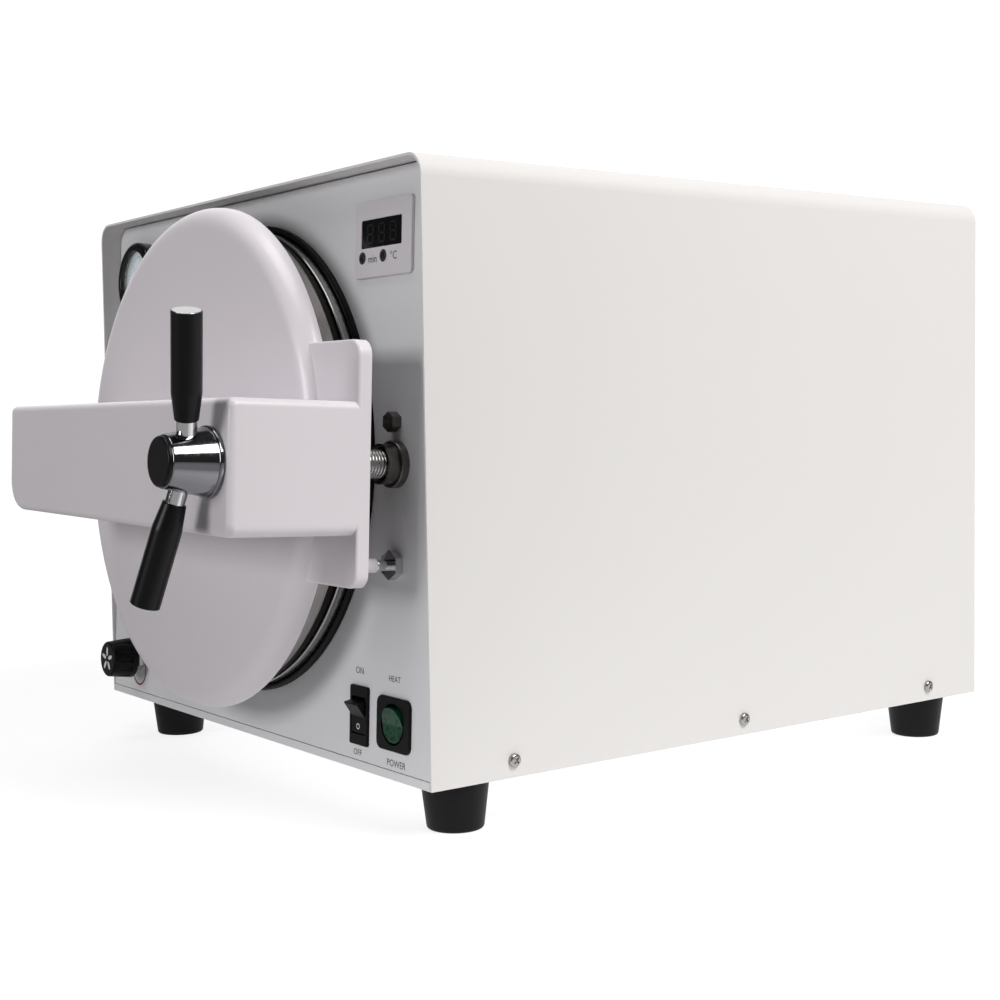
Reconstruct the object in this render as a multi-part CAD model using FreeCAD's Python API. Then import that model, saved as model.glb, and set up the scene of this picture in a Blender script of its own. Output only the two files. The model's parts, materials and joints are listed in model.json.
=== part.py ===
import FreeCAD, Part
import math
import os

# Bench vacuum autoclave with a side-hinged round door and a screw clamp.
# Millimetres, +Z up, the door faces -Y, origin on the floor under the middle
# of the whole object.

Vector = FreeCAD.Vector
X_AXIS = Vector(1, 0, 0)
Y_AXIS = Vector(0, 1, 0)
Z_AXIS = Vector(0, 0, 1)

# Chamber, inclined so that water runs to the rear drain
TILT = 2.5
PANEL_SETBACK = 8.0
CHAMBER_R = 125.0
CHAMBER_WALL = 2.0
CHAMBER_L = 345.0
CHAMBER_KNUCKLE_R = 40.0
FLANGE_W = 21.8
FLANGE_FRONT = 10.0
FLANGE_BACK = 4.0
PORT_INSET = 45.0
PORT_R = 9.0
PORT_BORE_R = 4.0
PORT_H = 9.0
MOUTH_GAP = 0.5
TRIM_WEB = 1.1
TRIM_LIP = 1.8
TRIM_FRONT = 3.6
TRIM_BACK = 3.0

SHELL_R = CHAMBER_R + CHAMBER_WALL
FLANGE_R = CHAMBER_R + FLANGE_W
MOUTH_R = FLANGE_R + MOUTH_GAP + TRIM_WEB
TRIM_R = MOUTH_R + TRIM_LIP
PORT_Y = CHAMBER_L - PORT_INSET

# Casing, sized by the room left round the chamber's mouth
ROOM_BESIDE_MOUTH = 64.3
ROOM_ABOVE_MOUTH = 20.3
ROOM_BELOW_MOUTH = 29.3
ROOM_BEHIND_CHAMBER = 122.5
CASE_CORNER_R = 13.0
SHEET = 1.5
FIT = 0.4
TRAY_LIP_H = 5.0
TRAY_SIDE_H = 24.0
TRAY_SIDE_INSET = 32.0
FLANGE_D = 12.0
PANEL_CORNER_R = 11.0

HALF_W = TRIM_R + ROOM_BESIDE_MOUTH
CASE_W = 2 * HALF_W
CASE_D = PANEL_SETBACK + CHAMBER_L + ROOM_BEHIND_CHAMBER
AXIS_H = TRIM_R + ROOM_BELOW_MOUTH
TOP_OVER_AXIS = TRIM_R + ROOM_ABOVE_MOUTH
CASE_H = AXIS_H + TOP_OVER_AXIS

# Rubber feet
FOOT_H = 29.0
FOOT_TOP_R = 20.0
FOOT_BOTTOM_R = 16.5
FOOT_RIGHT_X = HALF_W - 23.5
FOOT_LEFT_X = 46.5 - HALF_W
FOOT_FRONT_Y = 32.0
FOOT_REAR_Y = CASE_D - 37.5
FOOT_RECESS_R = 6.0
FOOT_RECESS_D = 14.0
M5_R = 2.5
M5_HEAD_R = 4.5
M5_HEAD_H = 3.0
CLINCH_NUT_R = 4.5
CLINCH_NUT_H = 4.0

# Casing screws
SCREW_YS = (57.0, CASE_D / 2 + 3.25, CASE_D - 52.5)
SCREW_Z = 10.0
SCREW_HEAD_R = 4.0
SCREW_HEAD_H = 2.4
SCREW_SHANK_R = 1.9
SCREW_L = 10.0
CROSS_W = 1.0
CROSS_L = 4.4
CROSS_D = 1.1

# Heater, lagging and saddles round the chamber
HEATER_GAP = 0.2
HEATER_T = 3.0
HEATER_Y = (70.0, CHAMBER_L - 95.0)
HEATER_SPLIT_W = 12.0
LAGGING_GAP = 0.3
LAGGING_T = 10.0
LAGGING_Y = (24.0, CHAMBER_L - 19.0)
SADDLE_T = 3.0
SADDLE_FRONT_Y = 14.0
SADDLE_REAR_Y = CHAMBER_L - 11.0
SADDLE_W = 150.0
SADDLE_FOOT = 24.0

# Door plate and gasket
DOOR_PLATE_R = FLANGE_R + 0.2
DOOR_PLATE_FRONT = 30.0
DOOR_PLATE_BACK = 15.5
DOOR_WEB_T = 4.0
DOOR_RIM_R = SHELL_R
GROOVE_R = (SHELL_R + 4.0, FLANGE_R - 2.0)
GROOVE_D = 4.5
GASKET_LIP_R = FLANGE_R - 1.4
GASKET_GAP = 0.2

# Lines of the clamp and the hinge
CLAMP_X = TRIM_R + 22.8
HINGE_X = 26.5 - HALF_W

# Moulded door cover
COVER_R = DOOR_PLATE_R + 11.5
COVER_FRONT = 46.0
COVER_BACK = 32.0
COVER_EDGE_R = 13.0
COVER_WALL = 3.0
ARM_FRONT = 117.0
ARM_LEFT = 38.5 - COVER_R
ARM_RIGHT = CLAMP_X + 23.0
ARM_TOP = (31.5, 34.0)
ARM_BOTTOM = (-36.5, -39.0)
ARM_LEFT_LOW_R = 20.0
ARM_RIGHT_LOW_R = 7.0
ARM_TOP_R = 4.6
ARM_FRONT_R = 4.0
EAR_H = 68.0
EAR_T = 8.0
EAR_R = 9.0
EAR_START = CLAMP_X - 55.0
COVER_SLOT_D = 15.0
COVER_RIB_XS = (-40.0, 40.0)
COVER_RIB_T = 2.0
COVER_RIB_END = 70.0
COVER_POST_R = 5.0
COVER_POSTS = ((-82.0, 0.0), (96.0, 0.0))
M4_R = 2.0
M4_HEAD_R = 4.0
M4_HEAD_H = 2.6
M4_GRIP_L = 10.0

# Steel strongback, hinge and centre bolt
BAR_H = 28.0
BAR_FRONT = 42.0
BAR_BACK = 32.0
BAR_RIGHT = CLAMP_X + 16.0
BARREL_R = 9.0
BARREL_H = 22.0
BAR_TAPER_X = (HINGE_X + 16.0, HINGE_X + 40.0)
HINGE_PIN_R = 5.0
PIN_CLEARANCE = 0.06
HINGE_GAP = 0.4
LUG_T = 7.5
HINGE_BASE_T = 4.0
HINGE_BASE_X = (HINGE_X - 17.0, HINGE_X + 16.0)
HINGE_BASE_H = 46.0
HINGE_SCREW_R = 3.0
HINGE_SCREW_FLATS = 9.0
HINGE_SCREW_HEAD_H = 3.0
CENTRE_SHANK_R = 4.5
CENTRE_BUTTON_R = 8.0
CENTRE_BUTTON_H = 3.0
CENTRE_HEAD_FLATS = 20.0
CENTRE_PAD_R = 18.0
CENTRE_HEAD_H = 7.0

# Clamp screw, socket and handle
ROD_R = 7.9
ROD_END = 4.0
SOCKET_BORE_R = 8.8
SOCKET_FLANGE_R = 13.5
SOCKET_FLANGE_T = 5.0
SOCKET_NOSE_R = 11.5
SOCKET_NOSE = 12.0
SOCKET_BACK = 26.0
SOCKET_BARREL_R = 12.0
MOUTH_CHAMFER = 1.5
BUSH_R = 11.0
BUSH_FLANGE_R = 14.0
BUSH_FLANGE_T = 3.0
SLEEVE_R = 12.0
SLEEVE_BACK = 62.0
SLEEVE_L = 38.0
ROD_CLEARANCE = 0.06
HUB_GAP = 0.4
HUB_LIP_R = 19.3
HUB_LIP_T = 2.6
HUB_BASE_R = 18.4
HUB_FRONT_R = 14.1
HUB_L = 26.2
CAP_R = 13.4
CAP_T = 2.4
CAP_SPIGOT_R = 6.0
CAP_SPIGOT_L = 4.0
LEVER_Y = 129.7
LEVER_TURN = 16.4
LEVER_LEAN = 8.6
LEVER_ROD_R = 5.4
LEVER_ROOT = 8.0
LEVER_HOLD_R = 4.0
LEVER_HOLD_L = 30.0
GRIP_START = 22.7
GRIP_TAPER = 15.0
GRIP_NECK_R = 6.3
GRIP_R = 8.1
GRIP_END = 80.3
GRIP_CAP_R = 7.5
GRIP_CAP_T = 1.6
GRIP_CAP_RECESS = 1.2
LEVER_PENETRATION = 40.0

# Pressure gauge
GAUGE_X = 46.5 - HALF_W
GAUGE_Z = TOP_OVER_AXIS - 44.0
GAUGE_R = 28.0
GAUGE_FRONT = 10.0
GAUGE_WINDOW_R = 21.5
GAUGE_CASE_R = 25.0
GAUGE_CASE_D = 26.0
GAUGE_WALL = 1.6
DIAL_Y = 3.6
DIAL_T = 0.6
NEEDLE_Y = 5.4
NEEDLE_T = 0.5
NEEDLE_L = 16.0
NEEDLE_TAIL = 6.0
NEEDLE_HUB_R = 2.4
NEEDLE_SHAFT_R = 0.8
GLASS_Y = 7.4
GLASS_T = 1.4
GAUGE_STEM_R = 6.0
GAUGE_STEM_L = 12.0

# Steam valve
VALVE_X = 47.5 - HALF_W
VALVE_Z = 30.5 - AXIS_H
VALVE_NUT_FLATS = 17.0
VALVE_NUT_T = 5.0
VALVE_BODY_R = 6.2
VALVE_BODY_D = 34.0
VALVE_STEM_R = 3.0
KNOB_BACK = 8.0
KNOB_FRONT = 26.5
KNOB_BACK_R = 14.5
KNOB_FRONT_R = 12.6
KNOB_RIBS = 12
KNOB_FLUTE_R = 2.2

# Display
DISPLAY_X = (HALF_W - 87.5, HALF_W - 27.5)
DISPLAY_Z = (TOP_OVER_AXIS - 63.5, TOP_OVER_AXIS - 19.0)
DISPLAY_T = 2.2
DISPLAY_R = 3.0
WINDOW_X = (DISPLAY_X[0] + 7.6, DISPLAY_X[1] - 9.8)
WINDOW_Z = (DISPLAY_Z[0] + 17.2, DISPLAY_Z[1] - 10.9)
WINDOW_RECESS = 0.5
LAMP_XS = (DISPLAY_X[0] + 9.0, DISPLAY_X[0] + 31.2)
LAMP_Z = DISPLAY_Z[0] + 11.9
LAMP_R = 2.4
BOARD_GAP = 8.0
BOARD_T = 1.6
STANDOFF_R = 2.5

# Rocker switches
SWITCH_Z = 31.8 - AXIS_H
HEAT_SWITCH_X = HALF_W - 75.2
HEAT_SWITCH_W = 19.4
HEAT_SWITCH_H = 35.0
POWER_SWITCH_X = HALF_W - 38.4
POWER_SWITCH_W = 34.2
POWER_SWITCH_H = 31.0
SWITCH_FRAME_T = 1.8
SWITCH_BODY_D = 22.0
SWITCH_BODY_MARGIN = 1.2
ROCKER_GAP = 0.3
ROCKER_HALF_W = 7.2
ROCKER_HALF_H = 9.6
ROUND_ROCKER_R = 10.4
ROCKER_SWEEP = 1.5
ROCKER_PIVOT = 0.2
HEAT_ROCKER_ANGLE = 18.0
POWER_ROCKER_ANGLE = 8.0
ROCKER_MID = 1.9
ROCKER_SKIRT = 3.0
ROCKER_POCKET = 12.0
TRUNNION_R = 1.4
TRUNNION_L = 0.9

# Door switch and stop bolt on the panel
DOOR_SWITCH_X = CLAMP_X + 1.0
DOOR_SWITCH_Z = -57.0
DOOR_SWITCH_NUT_FLATS = 15.0
DOOR_SWITCH_NUT_T = 5.0
DOOR_SWITCH_R = 5.5
DOOR_SWITCH_D = 30.0
PLUNGER_R = 3.2
PLUNGER_TIP = 14.0
PLUNGER_TAIL = 8.0
PLUNGER_TRAVEL = 5.0
PLUNGER_CLEARANCE = 0.08
STUD_R = 4.0
STUD_GAP = 0.3
STOP_BOLT_X = CLAMP_X - 1.0
STOP_BOLT_Z = 24.0
STOP_BOLT_R = 3.0
STOP_BOLT_FLATS = 10.0
STOP_BOLT_HEAD = 6.0

# Rear panel
LOUVRE_ROWS = 9
LOUVRE_PITCH = 12.0
LOUVRE_W = 90.0
LOUVRE_H = 5.0
LOUVRE_X = 95.0
LOUVRE_Z = CASE_H - 160.0
INLET_X = HALF_W - 64.5
INLET_Z = 50.0
INLET_W = 27.0
INLET_H = 20.0
INLET_FLANGE = 3.0
INLET_D = 24.0
FUSE_X = INLET_X - 45.0
FUSE_R = 6.2
FUSE_CAP_R = 8.5
EXHAUST_X = 84.5 - HALF_W
EXHAUST_Z = 60.0
EXHAUST_R = 6.5
EXHAUST_BORE_R = 3.5
EXHAUST_L = 16.0
EXHAUST_NUT_FLATS = 19.0
EXHAUST_NUT_T = 5.0

# Works beside the chamber
PUMP_X = 54.5 - HALF_W
PUMP_Y = (150.0, 268.0)
PUMP_R = 30.0
PUMP_FOOT_T = 4.0
PUMP_HEAD_L = 34.0
PUMP_HEAD_W = 52.0
PUMP_HEAD_H = 70.0
PUMP_FOOT_W = 70.0
PUMP_NECK_W = 26.0
PUMP_NECK_H = 4.0
PUMP_FINS = 6
PUMP_FIN_PITCH = 10.0
PUMP_FIN_GAP = 4.0
PUMP_FIN_D = 2.0
MAINS_BOARD_X = HALF_W - 10.5
MAINS_BOARD_Y = (120.0, 300.0)
MAINS_BOARD_Z = (30.0, 130.0)
TRANSFORMER = ((10.0, 45.0), (8.0, 40.0), 22.0)
RELAY_YS = (60.0, 100.0)
RELAY_L = 30.0
RELAY_W = 14.0
RELAY_H = 12.0
RELAY_Z = 8.0
CAPACITOR_Y = 70.0
CAPACITOR_PITCH = 24.0
CAPACITOR_Z = 50.0
CAPACITOR_R = 7.0
CAPACITOR_H = 16.0
SPACER_INSET = 6.0
SPACER_R = 3.0
PIPE_R = 3.0
PIPE_WALL = 1.0
PIPE_BEND = 14.0
COIL_R = 14.0
COIL_L = 30.0
DRAIN_VALVE_Y = 60.0
DRAIN_VALVE_L = 34.0
SAFETY_R = 11.0
SAFETY_H = 26.0
SAFETY_SIDE_H = 13.0
GAUGE_PIPE_R = 1.6
GAUGE_PIPE_DROP_Y = 10.0
GAUGE_PIPE_RUN = 30.0
DRAIN_DROP = 14.0
DRAIN_RUN = 40.0
DRAIN_RISE_Y = 30.0

DRAIN_VALVE_BACK = DRAIN_VALVE_Y - DRAIN_VALVE_L / 2
SIN_TILT = math.sin(math.radians(TILT))
COS_TILT = math.cos(math.radians(TILT))
INNER_HALF = HALF_W - SHEET - FIT
CASE_CEILING = CASE_H - SHEET
PANEL_TOP = (CASE_CEILING - 2 * FIT - AXIS_H) / COS_TILT
PANEL_BOTTOM = (TRAY_LIP_H + FIT - AXIS_H) / COS_TILT
HINGE_Y = (BAR_FRONT + BAR_BACK) / 2
LAGGING_R = SHELL_R + HEATER_GAP + HEATER_T + LAGGING_GAP

# The front frame: x to the right, y into the chamber, z up the inclined panel,
# with its origin where the chamber axis meets the panel's face
FRONT = FreeCAD.Placement(Vector(0, PANEL_SETBACK, AXIS_H), FreeCAD.Rotation(X_AXIS, -TILT))


def rounded_path(corners):
    """Closed list of flat edges through corners (a, b, radius)."""
    count = len(corners)
    joints = []
    for i in range(count):
        a, b, radius = corners[i]
        here = Vector(a, b, 0)
        if radius == 0:
            joints.append((here, None, here))
            continue
        back = (Vector(*corners[i - 1][:2], 0) - here).normalize()
        ahead = (Vector(*corners[(i + 1) % count][:2], 0) - here).normalize()
        half = back.getAngle(ahead) / 2
        start = here + back * (radius / math.tan(half))
        end = here + ahead * (radius / math.tan(half))
        bisector = (back + ahead).normalize()
        middle = here + bisector * (radius / math.sin(half) - radius)
        joints.append((start, middle, end))
    edges = []
    for i in range(count):
        start, middle, end = joints[i]
        if middle is not None:
            edges.append(Part.Arc(start, middle, end).toShape())
        following = joints[(i + 1) % count][0]
        if end.distanceToPoint(following) > 1e-6:
            edges.append(Part.LineSegment(end, following).toShape())
    return edges


def flat_face(corners):
    return Part.Face(Part.Wire(rounded_path(corners)))


def slab(corners, y0, y1):
    """Outline (x, z, radius) extruded from y0 to y1."""
    face = flat_face(corners)
    face.Placement = FreeCAD.Placement(Vector(0, y0, 0), FreeCAD.Rotation(X_AXIS, 90))
    return face.extrude(Vector(0, y1 - y0, 0))


def side_slab(corners, x0, x1):
    """Outline (y, z, radius) extruded from x0 to x1."""
    face = flat_face(corners)
    turn = FreeCAD.Rotation(Y_AXIS, Z_AXIS, X_AXIS, "XYZ")
    face.Placement = FreeCAD.Placement(Vector(x0, 0, 0), turn)
    return face.extrude(Vector(x1 - x0, 0, 0))


def floor_slab(corners, z0, z1):
    """Outline (x, y, radius) extruded from z0 to z1."""
    face = flat_face(corners)
    face.translate(Vector(0, 0, z0))
    return face.extrude(Vector(0, 0, z1 - z0))


def turned(corners, x=0.0, z=0.0):
    """Outline (radius, y, corner radius) turned about the line along Y at x, z."""
    face = flat_face(corners)
    solid = face.revolve(Vector(0, 0, 0), Y_AXIS, 360)
    solid.translate(Vector(x, 0, z))
    return solid


def turned_upright(corners, x=0.0, y=0.0):
    """Outline (radius, z, corner radius) turned about the vertical at x, y."""
    solid = turned(corners)
    solid.rotate(Vector(0, 0, 0), X_AXIS, 90)
    solid.translate(Vector(x, y, 0))
    return solid


def rod(radius, y0, y1, x=0.0, z=0.0):
    return Part.makeCylinder(radius, abs(y1 - y0), Vector(x, min(y0, y1), z), Y_AXIS)


def ring(outer_r, inner_r, y0, y1, x=0.0, z=0.0):
    return rod(outer_r, y0, y1, x, z).cut(rod(inner_r, y0, y1, x, z))


def box(x, y, z):
    return Part.makeBox(x[1] - x[0], y[1] - y[0], z[1] - z[0], Vector(x[0], y[0], z[0]))


def rectangle(a, b, radius=0.0):
    return [(a[0], b[0], radius), (a[1], b[0], radius), (a[1], b[1], radius), (a[0], b[1], radius)]


def centred(middle, size):
    return (middle - size / 2, middle + size / 2)


def hexagon(flats, y0, y1, x, z):
    reach = flats / math.sqrt(3)
    corners = []
    for i in range(6):
        angle = math.radians(60 * i + 30)
        corners.append((x + reach * math.cos(angle), z + reach * math.sin(angle), 0))
    return slab(corners, y0, y1)


def fillet_front(solid, y, radius):
    """Rounds the edges that lie in the plane at y."""
    edges = []
    for edge in solid.Edges:
        bounds = edge.BoundBox
        if abs(bounds.YMin - y) < 0.01 and abs(bounds.YMax - y) < 0.01:
            edges.append(edge)
    return solid.makeFillet(radius, edges)


def fused(first, *others):
    return first.fuse(list(others)).removeSplitter()


def in_case(solid):
    """A solid of the front frame, moved into the casing's frame."""
    moved = solid.copy()
    moved.Placement = FRONT.multiply(moved.Placement)
    return moved


def case_point(x, y, z):
    return FRONT.multVec(Vector(x, y, z))


def pipe(points, radius, bend):
    """Round tube solid along straight runs joined by tangent arcs."""
    edges = []
    start = points[0]
    for i in range(1, len(points) - 1):
        here = points[i]
        back = (points[i - 1] - here).normalize()
        ahead = (points[i + 1] - here).normalize()
        half = back.getAngle(ahead) / 2
        first = here + back * (bend / math.tan(half))
        last = here + ahead * (bend / math.tan(half))
        bisector = (back + ahead).normalize()
        middle = here + bisector * (bend / math.sin(half) - bend)
        edges.append(Part.LineSegment(start, first).toShape())
        edges.append(Part.Arc(first, middle, last).toShape())
        start = last
    edges.append(Part.LineSegment(start, points[-1]).toShape())
    path = Part.Wire(edges)
    section = Part.Wire(Part.makeCircle(radius, points[0], points[1] - points[0]))
    return path.makePipeShell([section], True, False)


# Sheet metal
def base_tray():
    half = INNER_HALF
    floor = box((-half, half), (0, CASE_D), (0, SHEET))
    front_lip = box((-half, half), (0, SHEET), (0, TRAY_LIP_H))
    rear_lip = box((-half, half), (CASE_D - SHEET, CASE_D), (0, TRAY_LIP_H))
    tray = floor.fuse([front_lip, rear_lip])
    for side in (-1, 1):
        outer = side * half
        inner = side * (half - SHEET)
        wall = box(sorted((inner, outer)), (TRAY_SIDE_INSET, CASE_D - TRAY_SIDE_INSET), (0, TRAY_SIDE_H))
        tray = tray.fuse(wall)
    tray = tray.removeSplitter()
    for x, y in foot_places():
        nut = Part.makeCylinder(CLINCH_NUT_R, SHEET + CLINCH_NUT_H, Vector(x, y, 0))
        bore = Part.makeCylinder(M5_R + 0.1, SHEET + CLINCH_NUT_H, Vector(x, y, 0))
        tray = tray.fuse(nut).removeSplitter().cut(bore)
    for side in (-1, 1):
        for y in SCREW_YS:
            start = Vector(side * (half + 1), y, SCREW_Z)
            tray = tray.cut(Part.makeCylinder(SCREW_SHANK_R + 0.1, 4, start, Vector(-side, 0, 0)))
    for i in range(8):
        y = centred(90 + 40 * i, 6)
        tray = tray.cut(floor_slab(rectangle((20, 90), y, 2.9), 0, SHEET))
        tray = tray.cut(floor_slab(rectangle((-90, -20), y, 2.9), 0, SHEET))
    return tray


def outer_casing():
    inner = HALF_W - SHEET
    section = [
        (-HALF_W, 0, 0),
        (-HALF_W, CASE_H, CASE_CORNER_R),
        (HALF_W, CASE_H, CASE_CORNER_R),
        (HALF_W, 0, 0),
        (inner, 0, 0),
        (inner, CASE_CEILING, CASE_CORNER_R - SHEET),
        (-inner, CASE_CEILING, CASE_CORNER_R - SHEET),
        (-inner, 0, 0),
    ]
    casing = slab(section, 0, CASE_D)
    for side in (-1, 1):
        for y in SCREW_YS:
            start = Vector(side * (HALF_W + 1), y, SCREW_Z)
            casing = casing.cut(Part.makeCylinder(SCREW_SHANK_R + 0.3, 4, start, Vector(-side, 0, 0)))
    return casing


def panel_outline(bottom, top, inset):
    half = INNER_HALF - inset
    radius = PANEL_CORNER_R - inset
    return [
        (-half, bottom, 0),
        (half, bottom, 0),
        (half, top - inset, radius),
        (-half, top - inset, radius),
    ]


def pan(bottom, top, y_face, y_back):
    """Sheet folded back along its sides and top, from its face to its flanges' ends."""
    inward = 1 if y_back > y_face else -1
    body = slab(panel_outline(bottom, top, 0), y_face, y_back)
    hollow = slab(panel_outline(bottom, top, SHEET), y_face + inward * SHEET, y_back)
    return body.cut(hollow)


def switch_hole(middle_x, width, height):
    outline = rectangle(
        centred(middle_x, width - 2 * SWITCH_BODY_MARGIN + FIT),
        centred(SWITCH_Z, height - 2 * SWITCH_BODY_MARGIN + FIT),
        1.0,
    )
    return slab(outline, 0, SHEET)


def front_panel():
    panel = pan(PANEL_BOTTOM, PANEL_TOP, 0, FLANGE_D)
    holes = [
        rod(MOUTH_R, 0, SHEET),
        rod(GAUGE_CASE_R + FIT, 0, SHEET, GAUGE_X, GAUGE_Z),
        rod(VALVE_BODY_R + FIT, 0, SHEET, VALVE_X, VALVE_Z),
        rod(SOCKET_BARREL_R + FIT, 0, SHEET, CLAMP_X, 0),
        rod(DOOR_SWITCH_R + FIT, 0, SHEET, DOOR_SWITCH_X, DOOR_SWITCH_Z),
        rod(STOP_BOLT_R + FIT, 0, SHEET, STOP_BOLT_X, STOP_BOLT_Z),
        slab(rectangle(WINDOW_X, WINDOW_Z, 1.0), 0, SHEET),
        switch_hole(HEAT_SWITCH_X, HEAT_SWITCH_W, HEAT_SWITCH_H),
        switch_hole(POWER_SWITCH_X, POWER_SWITCH_W, POWER_SWITCH_H),
    ]
    for x in LAMP_XS:
        holes.append(rod(LAMP_R + FIT, 0, SHEET, x, LAMP_Z))
    for x, z in hinge_screw_places():
        holes.append(rod(HINGE_SCREW_R + FIT, 0, SHEET, x, z))
    return panel.cut(holes)


def rear_panel():
    bottom = TRAY_LIP_H + FIT
    panel = pan(bottom, CASE_CEILING - 2 * FIT, CASE_D, CASE_D - FLANGE_D)
    back = (CASE_D - SHEET, CASE_D)
    holes = [
        slab(rectangle(centred(INLET_X, INLET_W), centred(INLET_Z, INLET_H), 2.0), *back),
        rod(FUSE_R + FIT, *back, FUSE_X, INLET_Z),
        rod(EXHAUST_R + FIT, *back, EXHAUST_X, EXHAUST_Z),
    ]
    for side in (-1, 1):
        for row in range(LOUVRE_ROWS):
            z = LOUVRE_Z + LOUVRE_PITCH * row
            outline = rectangle(centred(side * LOUVRE_X, LOUVRE_W), centred(z, LOUVRE_H), 2.4)
            holes.append(slab(outline, *back))
    return panel.cut(holes)


# Feet and screws
def foot_places():
    places = []
    for x in (FOOT_LEFT_X, FOOT_RIGHT_X):
        for y in (FOOT_FRONT_Y, FOOT_REAR_Y):
            places.append((x, y))
    return places


def rubber_foot(x, y):
    outline = [
        (M5_R + 0.1, -FOOT_H + FOOT_RECESS_D, 0),
        (FOOT_RECESS_R, -FOOT_H + FOOT_RECESS_D, 0),
        (FOOT_RECESS_R, -FOOT_H, 0),
        (FOOT_BOTTOM_R, -FOOT_H, 2.0),
        (FOOT_TOP_R, 0, 0.8),
        (M5_R + 0.1, 0, 0),
    ]
    return turned_upright(outline, x, y)


def foot_screws():
    screws = []
    seat = -FOOT_H + FOOT_RECESS_D
    for x, y in foot_places():
        head = Part.makeCylinder(M5_HEAD_R, M5_HEAD_H, Vector(x, y, seat - M5_HEAD_H))
        shank = Part.makeCylinder(M5_R, SHEET - seat + 7, Vector(x, y, seat))
        screws.append(head.fuse(shank).removeSplitter())
    return Part.makeCompound(screws)


def pan_head_screw():
    """Screw along +X with its head's seat at the origin and the shank towards -X."""
    outline = [
        (0, -SCREW_L, 0),
        (SCREW_SHANK_R, -SCREW_L, 0.6),
        (SCREW_SHANK_R, 0, 0),
        (SCREW_HEAD_R, 0, 0),
        (SCREW_HEAD_R, SCREW_HEAD_H, 1.6),
        (0, SCREW_HEAD_H, 0),
    ]
    screw = turned(outline)
    for turn in (0, 90):
        slot = box(
            (-CROSS_L / 2, CROSS_L / 2),
            (SCREW_HEAD_H - CROSS_D, SCREW_HEAD_H + 1),
            (-CROSS_W / 2, CROSS_W / 2),
        )
        slot.rotate(Vector(0, 0, 0), Y_AXIS, turn + 45)
        screw = screw.cut(slot)
    screw.rotate(Vector(0, 0, 0), Z_AXIS, -90)
    return screw


def casing_screws():
    screws = []
    for side in (-1, 1):
        for y in SCREW_YS:
            screw = pan_head_screw()
            if side < 0:
                screw.rotate(Vector(0, 0, 0), Z_AXIS, 180)
            screw.translate(Vector(side * HALF_W, y, SCREW_Z))
            screws.append(screw)
    return Part.makeCompound(screws)


# Pressure vessel, in the front frame
def chamber():
    back = FLANGE_BACK + CHAMBER_L
    outline = [
        (CHAMBER_R, FLANGE_BACK, 0),
        (SHELL_R, FLANGE_BACK, 0),
        (SHELL_R, back, CHAMBER_KNUCKLE_R),
        (0, back, 0),
        (0, back - CHAMBER_WALL, 0),
        (CHAMBER_R, back - CHAMBER_WALL, CHAMBER_KNUCKLE_R - CHAMBER_WALL),
    ]
    vessel = turned(outline)
    for side in (-1, 1):
        start = side * (CHAMBER_R + CHAMBER_WALL / 2)
        end = side * (SHELL_R + PORT_H)
        height = abs(end - start)
        stub = Part.makeCylinder(PORT_R, height, Vector(0, PORT_Y, start), Vector(0, 0, side))
        bore_start = Vector(0, PORT_Y, side * (CHAMBER_R - 5))
        bore = Part.makeCylinder(PORT_BORE_R, height + 10, bore_start, Vector(0, 0, side))
        vessel = vessel.fuse(stub).removeSplitter().cut(bore)
    return vessel


def chamber_flange():
    outline = [
        (CHAMBER_R, -FLANGE_FRONT, 1.5),
        (FLANGE_R, -FLANGE_FRONT, 1.0),
        (FLANGE_R, FLANGE_BACK, 0),
        (CHAMBER_R, FLANGE_BACK, 0),
    ]
    return turned(outline)


def mouth_trim():
    inner = FLANGE_R + MOUTH_GAP
    outline = [
        (inner, -TRIM_FRONT, 0.8),
        (TRIM_R, -TRIM_FRONT, 1.2),
        (TRIM_R, 0, 0),
        (MOUTH_R, 0, 0),
        (MOUTH_R, SHEET, 0),
        (TRIM_R, SHEET, 0),
        (TRIM_R, SHEET + TRIM_BACK, 0.8),
        (inner, SHEET + TRIM_BACK, 0),
    ]
    return turned(outline)


def heater_band():
    inner = SHELL_R + HEATER_GAP
    band = ring(inner + HEATER_T, inner, *HEATER_Y)
    split = box(centred(0, HEATER_SPLIT_W), HEATER_Y, (-inner - HEATER_T - 2, 0))
    return band.cut(split)


def lagging():
    jacket = ring(LAGGING_R + LAGGING_T, LAGGING_R, *LAGGING_Y)
    port = Part.makeCylinder(PORT_R + 1, 2 * (LAGGING_R + LAGGING_T + 1), Vector(0, PORT_Y, -LAGGING_R - LAGGING_T - 1))
    return jacket.cut(port)


def saddle(y):
    """Sheet saddle under the vessel, standing on the tray."""
    reach = AXIS_H + 40
    plate = box(centred(0, 2 * SADDLE_W / 2), (y, y + SADDLE_T), (-reach, -SHELL_R * 0.55))
    plate = in_case(plate.cut(rod(SHELL_R + 0.05, y - 1, y + SADDLE_T + 1)))
    above = box((-CASE_W, CASE_W), (-CASE_D, 2 * CASE_D), (SHEET, CASE_H))
    plate = plate.common(above)
    foot_y = plate.BoundBox.YMin
    foot = box(centred(0, SADDLE_W), (foot_y, foot_y + SADDLE_FOOT), (SHEET, SHEET + SADDLE_T))
    return fused(plate, foot)


def saddles():
    """Both saddles, in the casing's frame."""
    return Part.makeCompound([saddle(SADDLE_FRONT_Y), saddle(SADDLE_REAR_Y)])


def safety_valve():
    """Spring safety valve on the vessel's top port."""
    seat = SHELL_R + PORT_H
    outline = [
        (0, seat, 0),
        (PORT_R, seat, 0),
        (PORT_R, seat + 5, 0),
        (SAFETY_R, seat + 5, 0.8),
        (SAFETY_R, seat + SAFETY_H - 6, 0.8),
        (5, seat + SAFETY_H - 6, 0),
        (5, seat + SAFETY_H, 1.0),
        (0, seat + SAFETY_H, 0),
    ]
    return turned_upright(outline, 0, PORT_Y)


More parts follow.
